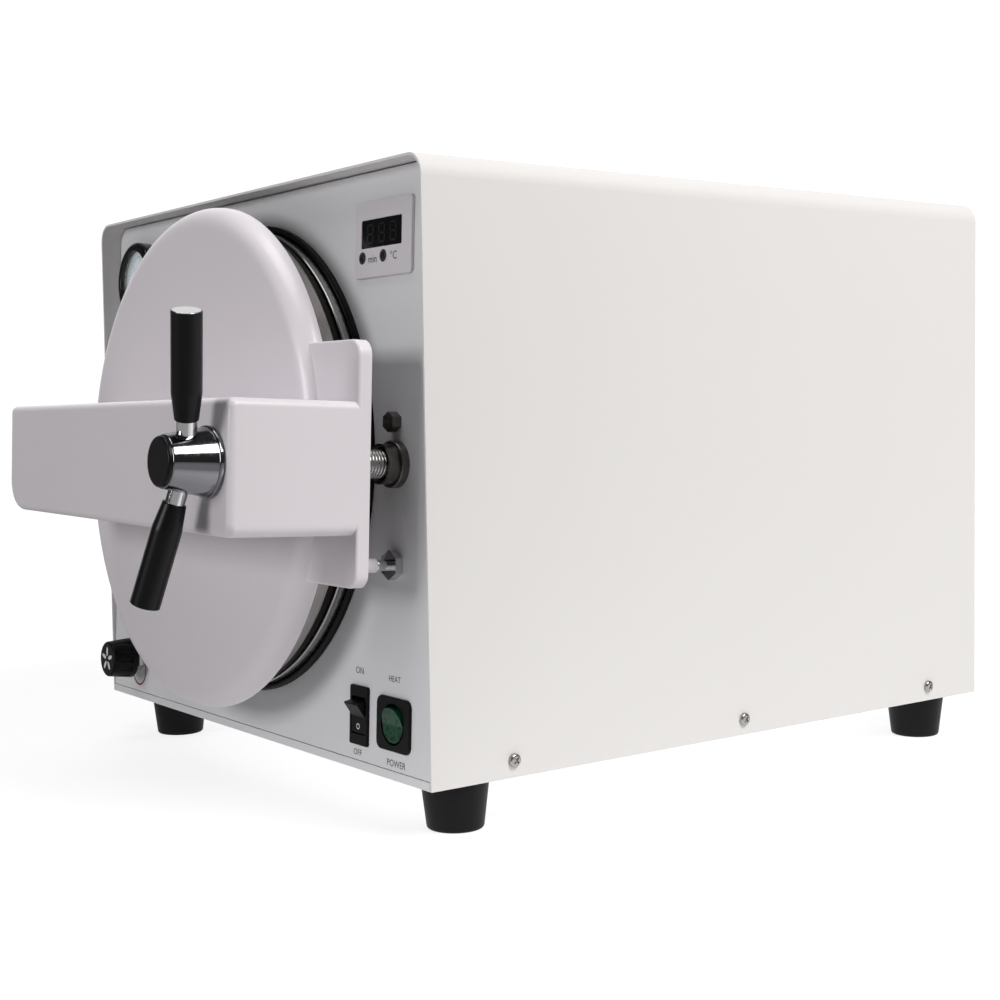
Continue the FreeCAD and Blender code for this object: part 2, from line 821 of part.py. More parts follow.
# Door, in the front frame
def door_plate():
    outline = [
        (0, -DOOR_PLATE_FRONT, 0),
        (DOOR_PLATE_R, -DOOR_PLATE_FRONT, 2.0),
        (DOOR_PLATE_R, -DOOR_PLATE_BACK, 1.5),
        (GROOVE_R[1], -DOOR_PLATE_BACK, 0),
        (GROOVE_R[1], -DOOR_PLATE_BACK - GROOVE_D, 0),
        (GROOVE_R[0], -DOOR_PLATE_BACK - GROOVE_D, 0),
        (GROOVE_R[0], -DOOR_PLATE_BACK, 0),
        (DOOR_RIM_R, -DOOR_PLATE_BACK, 1.0),
        (DOOR_RIM_R - 8, -DOOR_PLATE_FRONT + DOOR_WEB_T, 5.0),
        (0, -DOOR_PLATE_FRONT + DOOR_WEB_T, 0),
    ]
    plate = turned(outline)
    return plate.cut(rod(CENTRE_SHANK_R + 0.1, -DOOR_PLATE_FRONT, -DOOR_PLATE_FRONT + DOOR_WEB_T))


def door_gasket():
    bottom = -DOOR_PLATE_BACK - GROOVE_D
    face = -FLANGE_FRONT - GASKET_GAP
    outline = [
        (GROOVE_R[0] + GASKET_GAP, bottom, 0),
        (GROOVE_R[1] - GASKET_GAP, bottom, 0),
        (GROOVE_R[1] - GASKET_GAP, -DOOR_PLATE_BACK + 0.1, 0),
        (GASKET_LIP_R, -DOOR_PLATE_BACK + 0.1, 0.8),
        (GASKET_LIP_R, face, 1.2),
        (GROOVE_R[0] + GASKET_GAP, face, 1.2),
    ]
    return turned(outline)


def arm_outline(inset):
    left = ARM_LEFT + inset
    right = ARM_RIGHT - inset
    return [
        (left, ARM_BOTTOM[0] + inset, ARM_LEFT_LOW_R - inset),
        (right, ARM_BOTTOM[1] + inset, ARM_RIGHT_LOW_R - inset),
        (right, ARM_TOP[1] - inset, ARM_TOP_R - inset),
        (left, ARM_TOP[0] - inset, ARM_TOP_R - inset),
    ]


def ear_outline(inset):
    return [
        (EAR_START, -EAR_H + inset, 0),
        (ARM_RIGHT - inset, -EAR_H + inset, EAR_R - inset),
        (ARM_RIGHT - inset, EAR_H - inset, EAR_R - inset),
        (EAR_START, EAR_H - inset, 0),
    ]


def cover_outside():
    disc = turned([
        (0, -COVER_FRONT, 0),
        (COVER_R, -COVER_FRONT, COVER_EDGE_R),
        (COVER_R, -COVER_BACK, 0),
        (0, -COVER_BACK, 0),
    ])
    arm = slab(arm_outline(0), -ARM_FRONT, -COVER_BACK)
    arm = fillet_front(arm, -ARM_FRONT, ARM_FRONT_R)
    ear = slab(ear_outline(0), -COVER_BACK - EAR_T, -COVER_BACK)
    ear = fillet_front_right(ear)
    return disc.fuse([arm, ear])


def fillet_front_right(ear):
    """Softens the ear's front rim, apart from its hidden end in the disc."""
    y = -COVER_BACK - EAR_T
    edges = []
    for edge in ear.Edges:
        bounds = edge.BoundBox
        in_front = abs(bounds.YMin - y) < 0.01 and abs(bounds.YMax - y) < 0.01
        if in_front and bounds.XMax > EAR_START + 1:
            edges.append(edge)
    return ear.makeFillet(1.5, edges)


def cover_inside():
    disc = turned([
        (0, -COVER_FRONT + COVER_WALL, 0),
        (COVER_R - COVER_WALL, -COVER_FRONT + COVER_WALL, COVER_EDGE_R - COVER_WALL),
        (COVER_R - COVER_WALL, -COVER_BACK, 0),
        (0, -COVER_BACK, 0),
    ])
    arm = slab(arm_outline(COVER_WALL), -ARM_FRONT + COVER_WALL, -COVER_BACK)
    ear = slab(ear_outline(COVER_WALL), -COVER_BACK - EAR_T + COVER_WALL, -COVER_BACK)
    return disc.fuse([arm, ear])


def door_cover():
    cover = cover_outside().cut(cover_inside())
    slot_y = (-BAR_FRONT - FIT, -COVER_BACK)
    slot = box((-COVER_R - 2, -COVER_R + COVER_SLOT_D), slot_y, (-BAR_H - FIT, BAR_H + FIT))
    cover = cover.cut([slot, rod(ROD_R + 1.0, -ARM_FRONT, -ARM_FRONT + COVER_WALL, CLAMP_X, 0)])
    posts = []
    for x, z in COVER_POSTS:
        post = rod(COVER_POST_R, -ARM_FRONT + COVER_WALL / 2, -BAR_FRONT, x, z)
        posts.append(post.cut(rod(M4_R - 0.2, -BAR_FRONT - 12, -BAR_FRONT, x, z)))
    for x in COVER_RIB_XS:
        rib = slab(arm_outline(COVER_WALL / 2), -ARM_FRONT + COVER_WALL / 2, -COVER_RIB_END)
        posts.append(rib.common(box(centred(x, COVER_RIB_T), (-ARM_FRONT, 0), (-EAR_H, EAR_H))))
    stud_end = -PLUNGER_TIP - STUD_GAP
    posts.append(rod(STUD_R, -COVER_BACK - EAR_T + COVER_WALL / 2, stud_end, DOOR_SWITCH_X, DOOR_SWITCH_Z))
    return fused(cover, *posts)


def strongback():
    """Steel bar behind the cover, narrowed to the hinge barrel at its left end."""
    narrow, wide = BAR_TAPER_X
    outline = [
        (HINGE_X, -BARREL_H, 0),
        (narrow, -BARREL_H, 0),
        (wide, -BAR_H, 0),
        (BAR_RIGHT, -BAR_H, 2.0),
        (BAR_RIGHT, BAR_H, 2.0),
        (wide, BAR_H, 0),
        (narrow, BARREL_H, 0),
        (HINGE_X, BARREL_H, 0),
    ]
    bar = slab(outline, -BAR_FRONT, -BAR_BACK)
    barrel = Part.makeCylinder(BARREL_R, 2 * BARREL_H, Vector(HINGE_X, -HINGE_Y, -BARREL_H))
    pad = rod(CENTRE_PAD_R, -BAR_BACK, -DOOR_PLATE_FRONT)
    bar = fused(bar, barrel, pad)
    holes = [
        Part.makeCylinder(HINGE_PIN_R + PIN_CLEARANCE, 2 * BARREL_H, Vector(HINGE_X, -HINGE_Y, -BARREL_H)),
        rod(CENTRE_SHANK_R + 0.1, -BAR_FRONT, -DOOR_PLATE_FRONT),
        rod(BUSH_R, -BAR_FRONT, -BAR_BACK, CLAMP_X, 0),
    ]
    for x, z in COVER_POSTS:
        holes.append(rod(M4_R + 0.2, -BAR_FRONT, -BAR_BACK, x, z))
        holes.append(rod(M4_HEAD_R + 0.2, -BAR_BACK - M4_HEAD_H, -BAR_BACK, x, z))
    return bar.cut(holes)


def cover_screws():
    screws = []
    for x, z in COVER_POSTS:
        head = rod(M4_HEAD_R, -BAR_BACK - M4_HEAD_H, -BAR_BACK - 0.1, x, z)
        shank = rod(M4_R - 0.25, -BAR_FRONT - M4_GRIP_L, -BAR_BACK - M4_HEAD_H, x, z)
        screws.append(fused(head, shank))
    return Part.makeCompound(screws)


def centre_bolt():
    """Bolt through the strongback that carries the door plate's middle."""
    inner = -DOOR_PLATE_FRONT + DOOR_WEB_T
    head = hexagon(CENTRE_HEAD_FLATS, -BAR_FRONT - CENTRE_HEAD_H, -BAR_FRONT, 0, 0)
    shank = rod(CENTRE_SHANK_R, -BAR_FRONT, inner, 0, 0)
    button = turned([
        (0, inner, 0),
        (CENTRE_BUTTON_R, inner, 0),
        (CENTRE_BUTTON_R, inner + CENTRE_BUTTON_H, 1.4),
        (0, inner + CENTRE_BUTTON_H, 0),
    ])
    return fused(head, shank, button)


def hinge_screw_places():
    x = sum(HINGE_BASE_X) / 2
    z = (BARREL_H + LUG_T + HINGE_BASE_H) / 2
    return ((x, -z), (x, z))


def hinge_bracket():
    lug_z0 = BARREL_H + HINGE_GAP
    base = slab(rectangle(HINGE_BASE_X, (-HINGE_BASE_H, HINGE_BASE_H), 3.0), -HINGE_BASE_T, 0)
    parts = [base]
    for side in (-1, 1):
        z0, z1 = sorted((side * lug_z0, side * (lug_z0 + LUG_T)))
        web = box(centred(HINGE_X, 2 * BARREL_R), (-HINGE_Y, -HINGE_BASE_T), (z0, z1))
        nose = Part.makeCylinder(BARREL_R, z1 - z0, Vector(HINGE_X, -HINGE_Y, z0))
        parts += [web, nose]
    bracket = fused(*parts)
    holes = [Part.makeCylinder(HINGE_PIN_R, 2 * HINGE_BASE_H, Vector(HINGE_X, -HINGE_Y, -HINGE_BASE_H))]
    for x, z in hinge_screw_places():
        holes.append(rod(HINGE_SCREW_R + 0.2, -HINGE_BASE_T, 0, x, z))
    return bracket.cut(holes)


def hinge_pin():
    end = BARREL_H + HINGE_GAP + LUG_T
    outline = [
        (0, -end - 2, 0),
        (HINGE_PIN_R, -end - 2, 1.0),
        (HINGE_PIN_R, end, 0),
        (HINGE_PIN_R + 2.5, end, 0),
        (HINGE_PIN_R + 2.5, end + 3, 1.2),
        (0, end + 3, 0),
    ]
    return turned_upright(outline, HINGE_X, -HINGE_Y)


def hex_bolt(x, z, seat, flats, head_h, shank_r):
    head = hexagon(flats, seat - head_h, seat, x, z)
    return fused(head, rod(shank_r, seat, SHEET + 8, x, z))


def panel_bolts():
    """Two bolts through the hinge's base and the door's stop bolt."""
    bolts = []
    for x, z in hinge_screw_places():
        bolts.append(hex_bolt(x, z, -HINGE_BASE_T, HINGE_SCREW_FLATS, HINGE_SCREW_HEAD_H, HINGE_SCREW_R))
    bolts.append(hex_bolt(STOP_BOLT_X, STOP_BOLT_Z, 0, STOP_BOLT_FLATS, STOP_BOLT_HEAD, STOP_BOLT_R))
    return Part.makeCompound(bolts)


# Clamp and handle, in the front frame
def clamp_socket():
    outline = [
        (SOCKET_BORE_R + MOUTH_CHAMFER, -SOCKET_NOSE, 0),
        (SOCKET_NOSE_R, -SOCKET_NOSE, 0),
        (SOCKET_NOSE_R, -SOCKET_FLANGE_T, 0),
        (SOCKET_FLANGE_R, -SOCKET_FLANGE_T, 0.8),
        (SOCKET_FLANGE_R, 0, 0),
        (SOCKET_BARREL_R, 0, 0),
        (SOCKET_BARREL_R, SOCKET_BACK, 0),
        (SOCKET_BORE_R, SOCKET_BACK, 0),
        (SOCKET_BORE_R, -SOCKET_NOSE + MOUTH_CHAMFER, 0),
    ]
    return turned(outline, CLAMP_X)


def clamp_bush():
    bore = ROD_R + ROD_CLEARANCE
    outline = [
        (bore, -BAR_FRONT - BUSH_FLANGE_T, 0),
        (BUSH_FLANGE_R, -BAR_FRONT - BUSH_FLANGE_T, 0.6),
        (BUSH_FLANGE_R, -BAR_FRONT, 0),
        (BUSH_R, -BAR_FRONT, 0),
        (BUSH_R, -BAR_BACK, 0),
        (bore, -BAR_BACK, 0),
    ]
    return turned(outline, CLAMP_X)


def thrust_sleeve():
    """Sleeve on the clamp screw that follows the handle in and out."""
    bore = ROD_R + ROD_CLEARANCE
    outline = [
        (bore, -SLEEVE_BACK - SLEEVE_L, 0),
        (SLEEVE_R, -SLEEVE_BACK - SLEEVE_L, 0.8),
        (SLEEVE_R, -SLEEVE_BACK, 0.8),
        (bore, -SLEEVE_BACK, 0),
    ]
    return turned(outline, CLAMP_X)


def clamp_screw():
    collar = SLEEVE_BACK - 0.3
    outline = [
        (0, -ARM_FRONT - HUB_GAP, 0),
        (ROD_R, -ARM_FRONT - HUB_GAP, 0),
        (ROD_R, -collar, 0),
        (ROD_R + 2.5, -collar, 0.6),
        (ROD_R + 2.5, -collar + 5, 0.6),
        (ROD_R, -collar + 5, 0),
        (ROD_R, -ROD_END, 1.5),
        (0, -ROD_END, 0),
    ]
    return turned(outline, CLAMP_X)


def handle_hub():
    back = ARM_FRONT + HUB_GAP
    front = back + HUB_L
    outline = [
        (0, -back, 0),
        (HUB_LIP_R, -back, 0.4),
        (HUB_LIP_R, -back - HUB_LIP_T, 1.0),
        (HUB_BASE_R, -back - HUB_LIP_T, 0),
        (HUB_FRONT_R, -front, 0.9),
        (CAP_SPIGOT_R, -front, 0),
        (CAP_SPIGOT_R, -front + CAP_SPIGOT_L, 0),
        (0, -front + CAP_SPIGOT_L, 0),
    ]
    hub = turned(outline, CLAMP_X)
    for direction in lever_directions():
        hub = hub.cut(Part.makeCylinder(LEVER_ROD_R, LEVER_PENETRATION, lever_root(direction), direction))
    return hub


def hub_cap():
    front = ARM_FRONT + HUB_GAP + HUB_L
    outline = [
        (0, -front - CAP_T, 0),
        (CAP_R, -front - CAP_T, 1.4),
        (CAP_R, -front, 0),
        (CAP_SPIGOT_R - 0.05, -front, 0),
        (CAP_SPIGOT_R - 0.05, -front + CAP_SPIGOT_L - 0.5, 0),
        (0, -front + CAP_SPIGOT_L - 0.5, 0),
    ]
    return turned(outline, CLAMP_X)


def lever_directions():
    """Unit vectors of the upper and lower lever, leaning towards the user."""
    turn = math.radians(LEVER_TURN)
    lean = math.radians(LEVER_LEAN)
    sideways = math.sin(turn) * math.cos(lean)
    upward = math.cos(turn) * math.cos(lean)
    return [Vector(side * sideways, -math.sin(lean), side * upward) for side in (1, -1)]


def lever_centre():
    return Vector(CLAMP_X, -LEVER_Y, 0)


def lever_root(direction):
    return lever_centre() + direction * LEVER_ROOT


def along_lever(outline, direction):
    """Outline (radius, distance, corner radius) turned about a lever's axis."""
    solid = turned(outline)
    turn = FreeCAD.Rotation(Y_AXIS, direction)
    solid.Placement = FreeCAD.Placement(lever_centre(), turn).multiply(solid.Placement)
    return solid


def one_lever_rod(direction):
    inside = GRIP_START + LEVER_HOLD_L
    outline = [
        (0, LEVER_ROOT, 0),
        (LEVER_ROD_R, LEVER_ROOT, 0),
        (LEVER_ROD_R, GRIP_START, 0),
        (LEVER_HOLD_R, GRIP_START, 0),
        (LEVER_HOLD_R, inside, 0),
        (0, inside, 0),
    ]
    return along_lever(outline, direction)


def one_grip(direction):
    bore = LEVER_HOLD_R
    inside = GRIP_START + LEVER_HOLD_L
    outline = [
        (bore, GRIP_START, 0),
        (GRIP_NECK_R, GRIP_START, 0.8),
        (GRIP_R, GRIP_START + GRIP_TAPER, 12.0),
        (GRIP_R, GRIP_END, 0.4),
        (GRIP_CAP_R, GRIP_END, 0),
        (GRIP_CAP_R, GRIP_END - GRIP_CAP_RECESS, 0),
        (0, GRIP_END - GRIP_CAP_RECESS, 0),
        (0, inside, 0),
        (bore, inside, 0),
    ]
    return along_lever(outline, direction)


def lever_rods():
    return Part.makeCompound([one_lever_rod(direction) for direction in lever_directions()])


def lever_grips():
    return Part.makeCompound([one_grip(direction) for direction in lever_directions()])


def grip_caps():
    caps = []
    seat = GRIP_END - GRIP_CAP_RECESS
    for direction in lever_directions():
        outline = [
            (0, seat, 0),
            (GRIP_CAP_R, seat, 0),
            (GRIP_CAP_R, seat + GRIP_CAP_T, 0.3),
            (0, seat + GRIP_CAP_T, 0),
        ]
        caps.append(along_lever(outline, direction))
    return Part.makeCompound(caps)


# Gauge, in the front frame
def gauge_body():
    wall = GAUGE_WALL
    outline = [
        (GAUGE_WINDOW_R, -GAUGE_FRONT, 0.8),
        (GAUGE_R, -GAUGE_FRONT, 3.0),
        (GAUGE_R, 0, 0),
        (GAUGE_CASE_R, 0, 0),
        (GAUGE_CASE_R, GAUGE_CASE_D, 2.0),
        (GAUGE_STEM_R, GAUGE_CASE_D, 0),
        (GAUGE_STEM_R, GAUGE_CASE_D + GAUGE_STEM_L, 1.0),
        (0, GAUGE_CASE_D + GAUGE_STEM_L, 0),
        (0, GAUGE_CASE_D - wall, 0),
        (GAUGE_CASE_R - wall, GAUGE_CASE_D - wall, 1.0),
        (GAUGE_CASE_R - wall, -DIAL_Y + DIAL_T, 0),
        (GAUGE_WINDOW_R + 1.5, -DIAL_Y + DIAL_T, 0),
        (GAUGE_WINDOW_R + 1.5, -GLASS_Y - GLASS_T, 0),
        (GAUGE_WINDOW_R, -GLASS_Y - GLASS_T, 0),
    ]
    return turned(outline, GAUGE_X, GAUGE_Z)


def gauge_dial():
    outer = GAUGE_WINDOW_R + 1.4
    return ring(outer, NEEDLE_SHAFT_R + 0.05, -DIAL_Y, -DIAL_Y + DIAL_T, GAUGE_X, GAUGE_Z)


def gauge_glass():
    return rod(GAUGE_WINDOW_R + 1.4, -GLASS_Y - GLASS_T, -GLASS_Y, GAUGE_X, GAUGE_Z)


def gauge_needle():
    """Needle at its zero mark, down to the left."""
    outline = [
        (-NEEDLE_TAIL, -1.1, 0),
        (0, -0.9, 0),
        (NEEDLE_L, -0.2, 0),
        (NEEDLE_L, 0.2, 0),
        (0, 0.9, 0),
        (-NEEDLE_TAIL, 1.1, 0),
    ]
    blade = slab(outline, -NEEDLE_Y - NEEDLE_T, -NEEDLE_Y)
    blade.rotate(Vector(0, 0, 0), Y_AXIS, -225)
    blade.translate(Vector(GAUGE_X, 0, GAUGE_Z))
    hub = rod(NEEDLE_HUB_R, -NEEDLE_Y - 1, -NEEDLE_Y + 0.4, GAUGE_X, GAUGE_Z)
    shaft = rod(NEEDLE_SHAFT_R, -NEEDLE_Y, -DIAL_Y + 4, GAUGE_X, GAUGE_Z)
    return fused(blade, hub, shaft)


# Steam valve, in the front frame
def valve_body():
    """Needle valve's body with the nut that clamps it to the panel."""
    body = rod(VALVE_BODY_R, 0, VALVE_BODY_D, VALVE_X, VALVE_Z)
    nut = hexagon(VALVE_NUT_FLATS, -VALVE_NUT_T, 0, VALVE_X, VALVE_Z)
    stem_hole = rod(VALVE_STEM_R + 0.06, -VALVE_NUT_T, VALVE_BODY_D - 6, VALVE_X, VALVE_Z)
    return fused(body, nut).cut(stem_hole)


def valve_stem():
    return rod(VALVE_STEM_R, -KNOB_FRONT + 8, VALVE_BODY_D - 8, VALVE_X, VALVE_Z)


def valve_knob():
    outline = [
        (0, -KNOB_FRONT, 0),
        (KNOB_FRONT_R, -KNOB_FRONT, 1.5),
        (KNOB_BACK_R, -KNOB_BACK, 1.0),
        (0, -KNOB_BACK, 0),
    ]
    knob = turned(outline)
    flutes = []
    for i in range(KNOB_RIBS):
        angle = 2 * math.pi * i / KNOB_RIBS
        reach = KNOB_BACK_R + 0.6
        middle = Vector(reach * math.cos(angle), -KNOB_FRONT - 1, reach * math.sin(angle))
        flutes.append(Part.makeCylinder(KNOB_FLUTE_R, KNOB_FRONT - KNOB_BACK - 3, middle, Y_AXIS))
    flutes.append(rod(VALVE_STEM_R, -KNOB_FRONT + 8, -KNOB_BACK))
    knob = knob.cut(flutes)
    knob.translate(Vector(VALVE_X, 0, VALVE_Z))
    return knob


# Display, in the front frame
def display_bezel():
    outline = rectangle(DISPLAY_X, DISPLAY_Z, DISPLAY_R)
    bezel = fillet_front(slab(outline, -DISPLAY_T, 0), -DISPLAY_T, 0.8)
    holes = [slab(rectangle(WINDOW_X, WINDOW_Z, 1.0), -DISPLAY_T, 0)]
    for x in LAMP_XS:
        holes.append(rod(LAMP_R, -DISPLAY_T, 0, x, LAMP_Z))
    return bezel.cut(holes)


def display_window():
    x = (WINDOW_X[0] + 0.05, WINDOW_X[1] - 0.05)
    z = (WINDOW_Z[0] + 0.05, WINDOW_Z[1] - 0.05)
    return slab(rectangle(x, z, 0.95), -DISPLAY_T + WINDOW_RECESS, SHEET + BOARD_GAP)


def display_lamps():
    lamps = []
    for x in LAMP_XS:
        lamp = turned([
            (0, -DISPLAY_T - 0.4, 0),
            (LAMP_R - 0.05, -DISPLAY_T - 0.4, 0.5),
            (LAMP_R - 0.05, SHEET + BOARD_GAP, 0),
            (0, SHEET + BOARD_GAP, 0),
        ], x, LAMP_Z)
        lamps.append(lamp)
    return Part.makeCompound(lamps)


def display_board():
    y = SHEET + BOARD_GAP
    board = slab(rectangle(DISPLAY_X, DISPLAY_Z, 1.0), y, y + BOARD_T)
    posts = []
    for x in (DISPLAY_X[0] + 4, DISPLAY_X[1] - 4):
        for z in (DISPLAY_Z[0] + 4, DISPLAY_Z[1] - 4):
            posts.append(rod(STANDOFF_R, SHEET, y, x, z))
    return fused(board, *posts)


# Rocker switches, in the front frame
def switch_housing(x, width, height, frame_r, pocket):
    frame = slab(rectangle(centred(x, width), centred(SWITCH_Z, height), frame_r), -SWITCH_FRAME_T, 0)
    frame = fillet_front(frame, -SWITCH_FRAME_T, 0.7)
    body_w = width - 2 * SWITCH_BODY_MARGIN
    body_h = height - 2 * SWITCH_BODY_MARGIN
    body = box(centred(x, body_w), (0, SWITCH_BODY_D), centred(SWITCH_Z, body_h))
    blades = []
    for z in (SWITCH_Z - 6, SWITCH_Z + 6):
        blades.append(box(centred(x, 5), (SWITCH_BODY_D, SWITCH_BODY_D + 8), centred(z, 0.8)))
    housing = fused(frame, body, *blades)
    reach = TRUNNION_L + 0.1
    side = ROUND_ROCKER_R if pocket == "round" else ROCKER_HALF_W
    trunnion = Part.makeCylinder(
        TRUNNION_R + 0.06, 2 * (side + reach), Vector(x - side - reach, ROCKER_PIVOT, SWITCH_Z), X_AXIS
    )
    if pocket == "round":
        hollow = rod(ROUND_ROCKER_R + ROCKER_SWEEP, -SWITCH_FRAME_T, ROCKER_POCKET, x, SWITCH_Z)
    else:
        hollow = box(
            centred(x, 2 * (ROCKER_HALF_W + ROCKER_GAP)),
            (-SWITCH_FRAME_T, ROCKER_POCKET),
            centred(SWITCH_Z, 2 * (ROCKER_HALF_H + ROCKER_SWEEP)),
        )
    return housing.cut([hollow, trunnion])


def rocker(x, half_w, half_h, angle, is_round):
    """Rocker pressed in at its foot, so that its upper half stands out."""
    rise = half_h * math.tan(math.radians(angle))
    outline = [
        (-ROCKER_MID - rise, half_h, 0.6),
        (ROCKER_SKIRT, half_h - 0.6, 1.0),
        (ROCKER_SKIRT, -half_h + 0.6, 1.0),
        (-ROCKER_MID - rise, -half_h, 0.6),
        (-ROCKER_MID, 0, 0),
    ]
    body = side_slab(outline, -half_w, half_w)
    if is_round:
        body = body.common(rod(half_h, -20, 20))
    reach = half_w + TRUNNION_L
    pin = Part.makeCylinder(TRUNNION_R, 2 * reach, Vector(-reach, 0, 0), X_AXIS)
    body = fused(body, pin)
    body.rotate(Vector(0, 0, 0), X_AXIS, angle)
    body.translate(Vector(x, ROCKER_PIVOT, SWITCH_Z))
    return body


def heat_switch_rocker():
    return rocker(HEAT_SWITCH_X, ROCKER_HALF_W, ROCKER_HALF_H, HEAT_ROCKER_ANGLE, False)


def power_switch_rocker():
    return rocker(POWER_SWITCH_X, ROUND_ROCKER_R, ROUND_ROCKER_R, POWER_ROCKER_ANGLE, True)


# Door switch, in the front frame
def door_switch():
    x, z = DOOR_SWITCH_X, DOOR_SWITCH_Z
    nut = hexagon(DOOR_SWITCH_NUT_FLATS, -DOOR_SWITCH_NUT_T, 0, x, z)
    barrel = rod(DOOR_SWITCH_R, 0, DOOR_SWITCH_D, x, z)
    bore_end = PLUNGER_TAIL + PLUNGER_TRAVEL + 1
    bore = rod(PLUNGER_R + PLUNGER_CLEARANCE, -DOOR_SWITCH_NUT_T, bore_end, x, z)
    return fused(nut, barrel).cut(bore)


def door_switch_plunger():
    outline = [
        (0, -PLUNGER_TIP, 0),
        (PLUNGER_R, -PLUNGER_TIP, 1.2),
        (PLUNGER_R, PLUNGER_TAIL, 0),
        (0, PLUNGER_TAIL, 0),
    ]
    return turned(outline, DOOR_SWITCH_X, DOOR_SWITCH_Z)


# Rear fittings, in the casing's frame
def power_inlet():
    outer = slab(
        rectangle(
            centred(INLET_X, INLET_W + 2 * INLET_FLANGE),
            centred(INLET_Z, INLET_H + 2 * INLET_FLANGE),
            3.0,
        ),
        CASE_D,
        CASE_D + 2.5,
    )
    body = slab(
        rectangle(centred(INLET_X, INLET_W - FIT), centred(INLET_Z, INLET_H - FIT), 2.0),
        CASE_D - INLET_D,
        CASE_D,
    )
    pocket = slab(
        rectangle(centred(INLET_X, INLET_W - 4), centred(INLET_Z, INLET_H - 5), 2.0),
        CASE_D - INLET_D + 5,
        CASE_D + 2.5,
    )
    inlet = fused(outer, body).cut(pocket)
    blades = []
    for x, z in ((-7, -2), (0, 2.2), (7, -2)):
        y = (CASE_D - INLET_D + 4, CASE_D - 4)
        blades.append(box(centred(INLET_X + x, 2), y, centred(INLET_Z + z, 4)))
    return fused(inlet, *blades)


def fuse_holder():
    outline = [
        (0, CASE_D - 22, 0),
        (FUSE_R, CASE_D - 22, 0.8),
        (FUSE_R, CASE_D, 0),
        (FUSE_CAP_R, CASE_D, 0),
        (FUSE_CAP_R, CASE_D + 8, 1.2),
        (0, CASE_D + 8, 0),
    ]
    holder = turned(outline, FUSE_X, INLET_Z)
    slot = box(centred(FUSE_X, 10), (CASE_D + 6.5, CASE_D + 9), centred(INLET_Z, 1.6))
    return holder.cut(slot)


def exhaust_port():
    """Ribbed hose tail with its nut on the rear panel."""
    outline = [
        (EXHAUST_BORE_R, CASE_D - 12, 0),
        (PIPE_R - PIPE_WALL, CASE_D - 12, 0),
        (PIPE_R - PIPE_WALL, CASE_D - 14, 0),
        (EXHAUST_R, CASE_D - 14, 0),
        (EXHAUST_R, CASE_D, 0),
    ]
    start = CASE_D + EXHAUST_NUT_T
    outline.append((EXHAUST_R, start, 0))
    for i in range(3):
        outline.append((EXHAUST_R - 1.6, start + 1 + 3.4 * i, 0))
        outline.append((EXHAUST_R - 0.6, start + 2 + 3.4 * i, 0))
    outline.append((EXHAUST_R - 1.8, CASE_D + EXHAUST_L, 0))
    outline.append((EXHAUST_BORE_R, CASE_D + EXHAUST_L, 0))
    tail = turned(outline, EXHAUST_X, EXHAUST_Z)
    nut = hexagon(EXHAUST_NUT_FLATS, CASE_D, CASE_D + EXHAUST_NUT_T, EXHAUST_X, EXHAUST_Z)
    nut = nut.cut(rod(EXHAUST_BORE_R, CASE_D - 1, CASE_D + EXHAUST_NUT_T + 1, EXHAUST_X, EXHAUST_Z))
    inlet = ring(PIPE_R, PIPE_R - PIPE_WALL, CASE_D - DRAIN_VALVE_BACK, CASE_D - 14, EXHAUST_X, EXHAUST_Z)
    return fused(tail, nut, inlet)


# Works beside the chamber, in the casing's frame
def vacuum_pump():
    axis_z = SHEET + PUMP_FOOT_T + PUMP_R + PUMP_NECK_H
    foot = box(centred(PUMP_X, PUMP_FOOT_W), PUMP_Y, (SHEET, SHEET + PUMP_FOOT_T))
    neck_y = (PUMP_Y[0] + PUMP_FIN_PITCH, PUMP_Y[1] - PUMP_FIN_PITCH)
    neck = box(centred(PUMP_X, PUMP_NECK_W), neck_y, (SHEET + PUMP_FOOT_T, axis_z))
    motor = rod(PUMP_R, PUMP_Y[0] + PUMP_HEAD_L, PUMP_Y[1], PUMP_X, axis_z)
    grooves = []
    for i in range(PUMP_FINS):
        y = PUMP_Y[0] + PUMP_HEAD_L + PUMP_FIN_PITCH * (i + 1.2)
        reach = PUMP_R + PUMP_FIN_D
        grooves.append(ring(reach, PUMP_R - PUMP_FIN_D, y, y + PUMP_FIN_GAP, PUMP_X, axis_z))
    head_z = (SHEET + PUMP_FOOT_T, SHEET + PUMP_FOOT_T + PUMP_HEAD_H)
    head = box(centred(PUMP_X, PUMP_HEAD_W), (PUMP_Y[0], PUMP_Y[0] + PUMP_HEAD_L), head_z)
    return fused(foot, neck, motor.cut(grooves), head)


def mains_board():
    """Circuit board standing beside the chamber on four spacers from the casing's side."""
    x = MAINS_BOARD_X
    y0, y1 = MAINS_BOARD_Y
    z0, z1 = MAINS_BOARD_Z
    parts = [box((x, x + BOARD_T), MAINS_BOARD_Y, MAINS_BOARD_Z)]
    transformer_y, transformer_z, transformer_h = TRANSFORMER
    transformer = box((x - transformer_h, x), (y0 + transformer_y[0], y0 + transformer_y[1]),
                      (z0 + transformer_z[0], z0 + transformer_z[1]))
    parts.append(transformer)
    for start in RELAY_YS:
        relay_y = (y0 + start, y0 + start + RELAY_L)
        relay_z = (z0 + RELAY_Z, z0 + RELAY_Z + RELAY_W)
        parts.append(box((x - RELAY_H, x), relay_y, relay_z))
    for i in range(3):
        start = Vector(x, y0 + CAPACITOR_Y + CAPACITOR_PITCH * i, z0 + CAPACITOR_Z)
        parts.append(Part.makeCylinder(CAPACITOR_R, CAPACITOR_H, start, Vector(-1, 0, 0)))
    for y in (y0 + SPACER_INSET, y1 - SPACER_INSET):
        for z in (z0 + SPACER_INSET, z1 - SPACER_INSET):
            parts.append(Part.makeCylinder(SPACER_R, INNER_HALF - x, Vector(x, y, z), X_AXIS))
    return fused(*parts)


